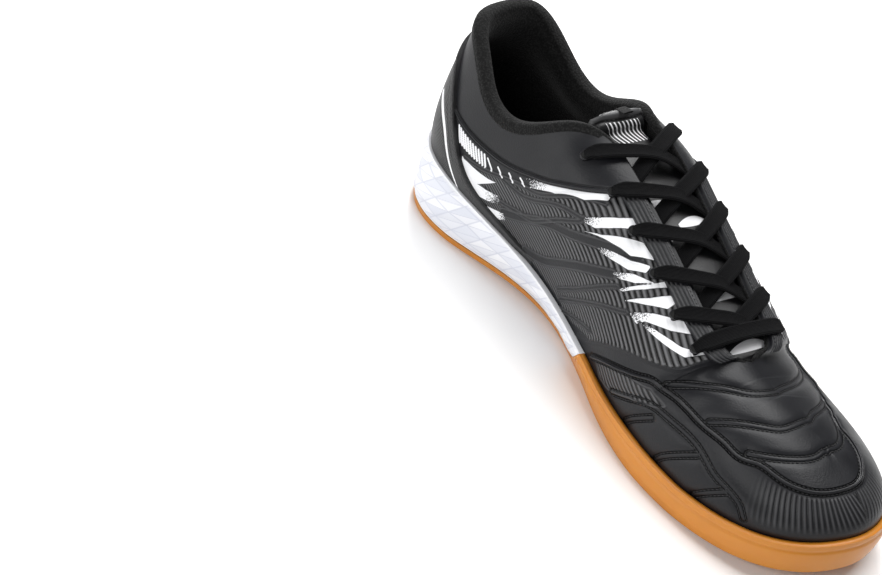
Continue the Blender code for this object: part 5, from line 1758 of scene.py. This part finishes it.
# Floor, light and camera
def build_stage():
    floor_mesh = bpy.data.meshes.new("studio_floor")
    reach = 3.0
    corners = [(-reach, -reach, 0), (reach, -reach, 0), (reach, reach, 0), (-reach, reach, 0)]
    floor_mesh.from_pydata(corners, [], [(0, 1, 2, 3)])
    look = Nodes("studio_floor", (0.90, 0.90, 0.90), 0.6)
    look.set("Base Color", look.mix(look.noise(0.4), (0.89, 0.89, 0.89), (0.91, 0.91, 0.91)))
    floor_mesh.materials.append(look.made)
    floor = bpy.data.objects.new("studio_floor", floor_mesh)
    bpy.context.scene.collection.objects.link(floor)


def area_light(name, place, target, size, power):
    light = bpy.data.lights.new(name, "AREA")
    light.shape = "RECTANGLE"
    light.size, light.size_y = size
    light.energy = power
    lamp = bpy.data.objects.new(name, light)
    bpy.context.scene.collection.objects.link(lamp)
    lamp.location = place
    lamp.rotation_euler = (Vector(target) - Vector(place)).to_track_quat("-Z", "Y").to_euler()


def build_lights():
    area_light("softbox_above", (-0.1, 0.25, 1.1), (0, 0, 0.04), (1.0, 0.7), 15)
    area_light("softbox_front", (0.2, -1.1, 0.8), (0, 0, 0.04), (0.9, 0.5), 6.5)
    area_light("softbox_low", (-0.62, -1.08, 0.26), (-0.08, 0, 0.07), (0.9, 0.45), 4.5)
    area_light("strip_back", (-0.7, 0.6, 0.7), (0, 0, 0.05), (0.25, 1.0), 9)
    world = bpy.data.worlds.new("studio")
    bpy.context.scene.world = world
    world.use_nodes = True
    world.node_tree.nodes["Background"].inputs["Color"].default_value = (1, 1, 1, 1)
    world.node_tree.nodes["Background"].inputs["Strength"].default_value = 0.16


def build_camera():
    azimuth, elevation, roll = (np.radians(v) for v in (CAMERA_AZIMUTH, CAMERA_ELEVATION, CAMERA_ROLL))
    level_way = np.array([-np.sin(azimuth), np.cos(azimuth), 0]) * np.cos(elevation)
    forward = level_way - np.array([0, 0, np.sin(elevation)])
    right = unit(np.cross(forward, (0, 0, 1)))
    down = np.cross(forward, right)
    across = right * np.cos(roll) + down * np.sin(roll)
    under = down * np.cos(roll) - right * np.sin(roll)
    camera = bpy.data.cameras.new("photo_camera")
    camera.sensor_width = 36
    camera.lens = CAMERA_LENS
    camera.clip_start = 0.01
    made = bpy.data.objects.new("photo_camera", camera)
    bpy.context.scene.collection.objects.link(made)
    place = np.array(CAMERA_TARGET) - forward * CAMERA_DISTANCE
    matrix = np.eye(4)
    for column, axis in enumerate((across, -under, -forward)):
        matrix[:3, column] = axis
    matrix[:3, 3] = place
    made.matrix_world = Matrix(matrix.tolist())
    bpy.context.scene.camera = made


build_camera()
build_skin()
build_lining()
build_seams()
build_counter()
build_eyestays()
build_tongue()
build_lace()
build_midsole()
build_outsole()
build_insole()
build_stage()
build_lights()
bpy.context.scene.view_settings.view_transform = "Standard"
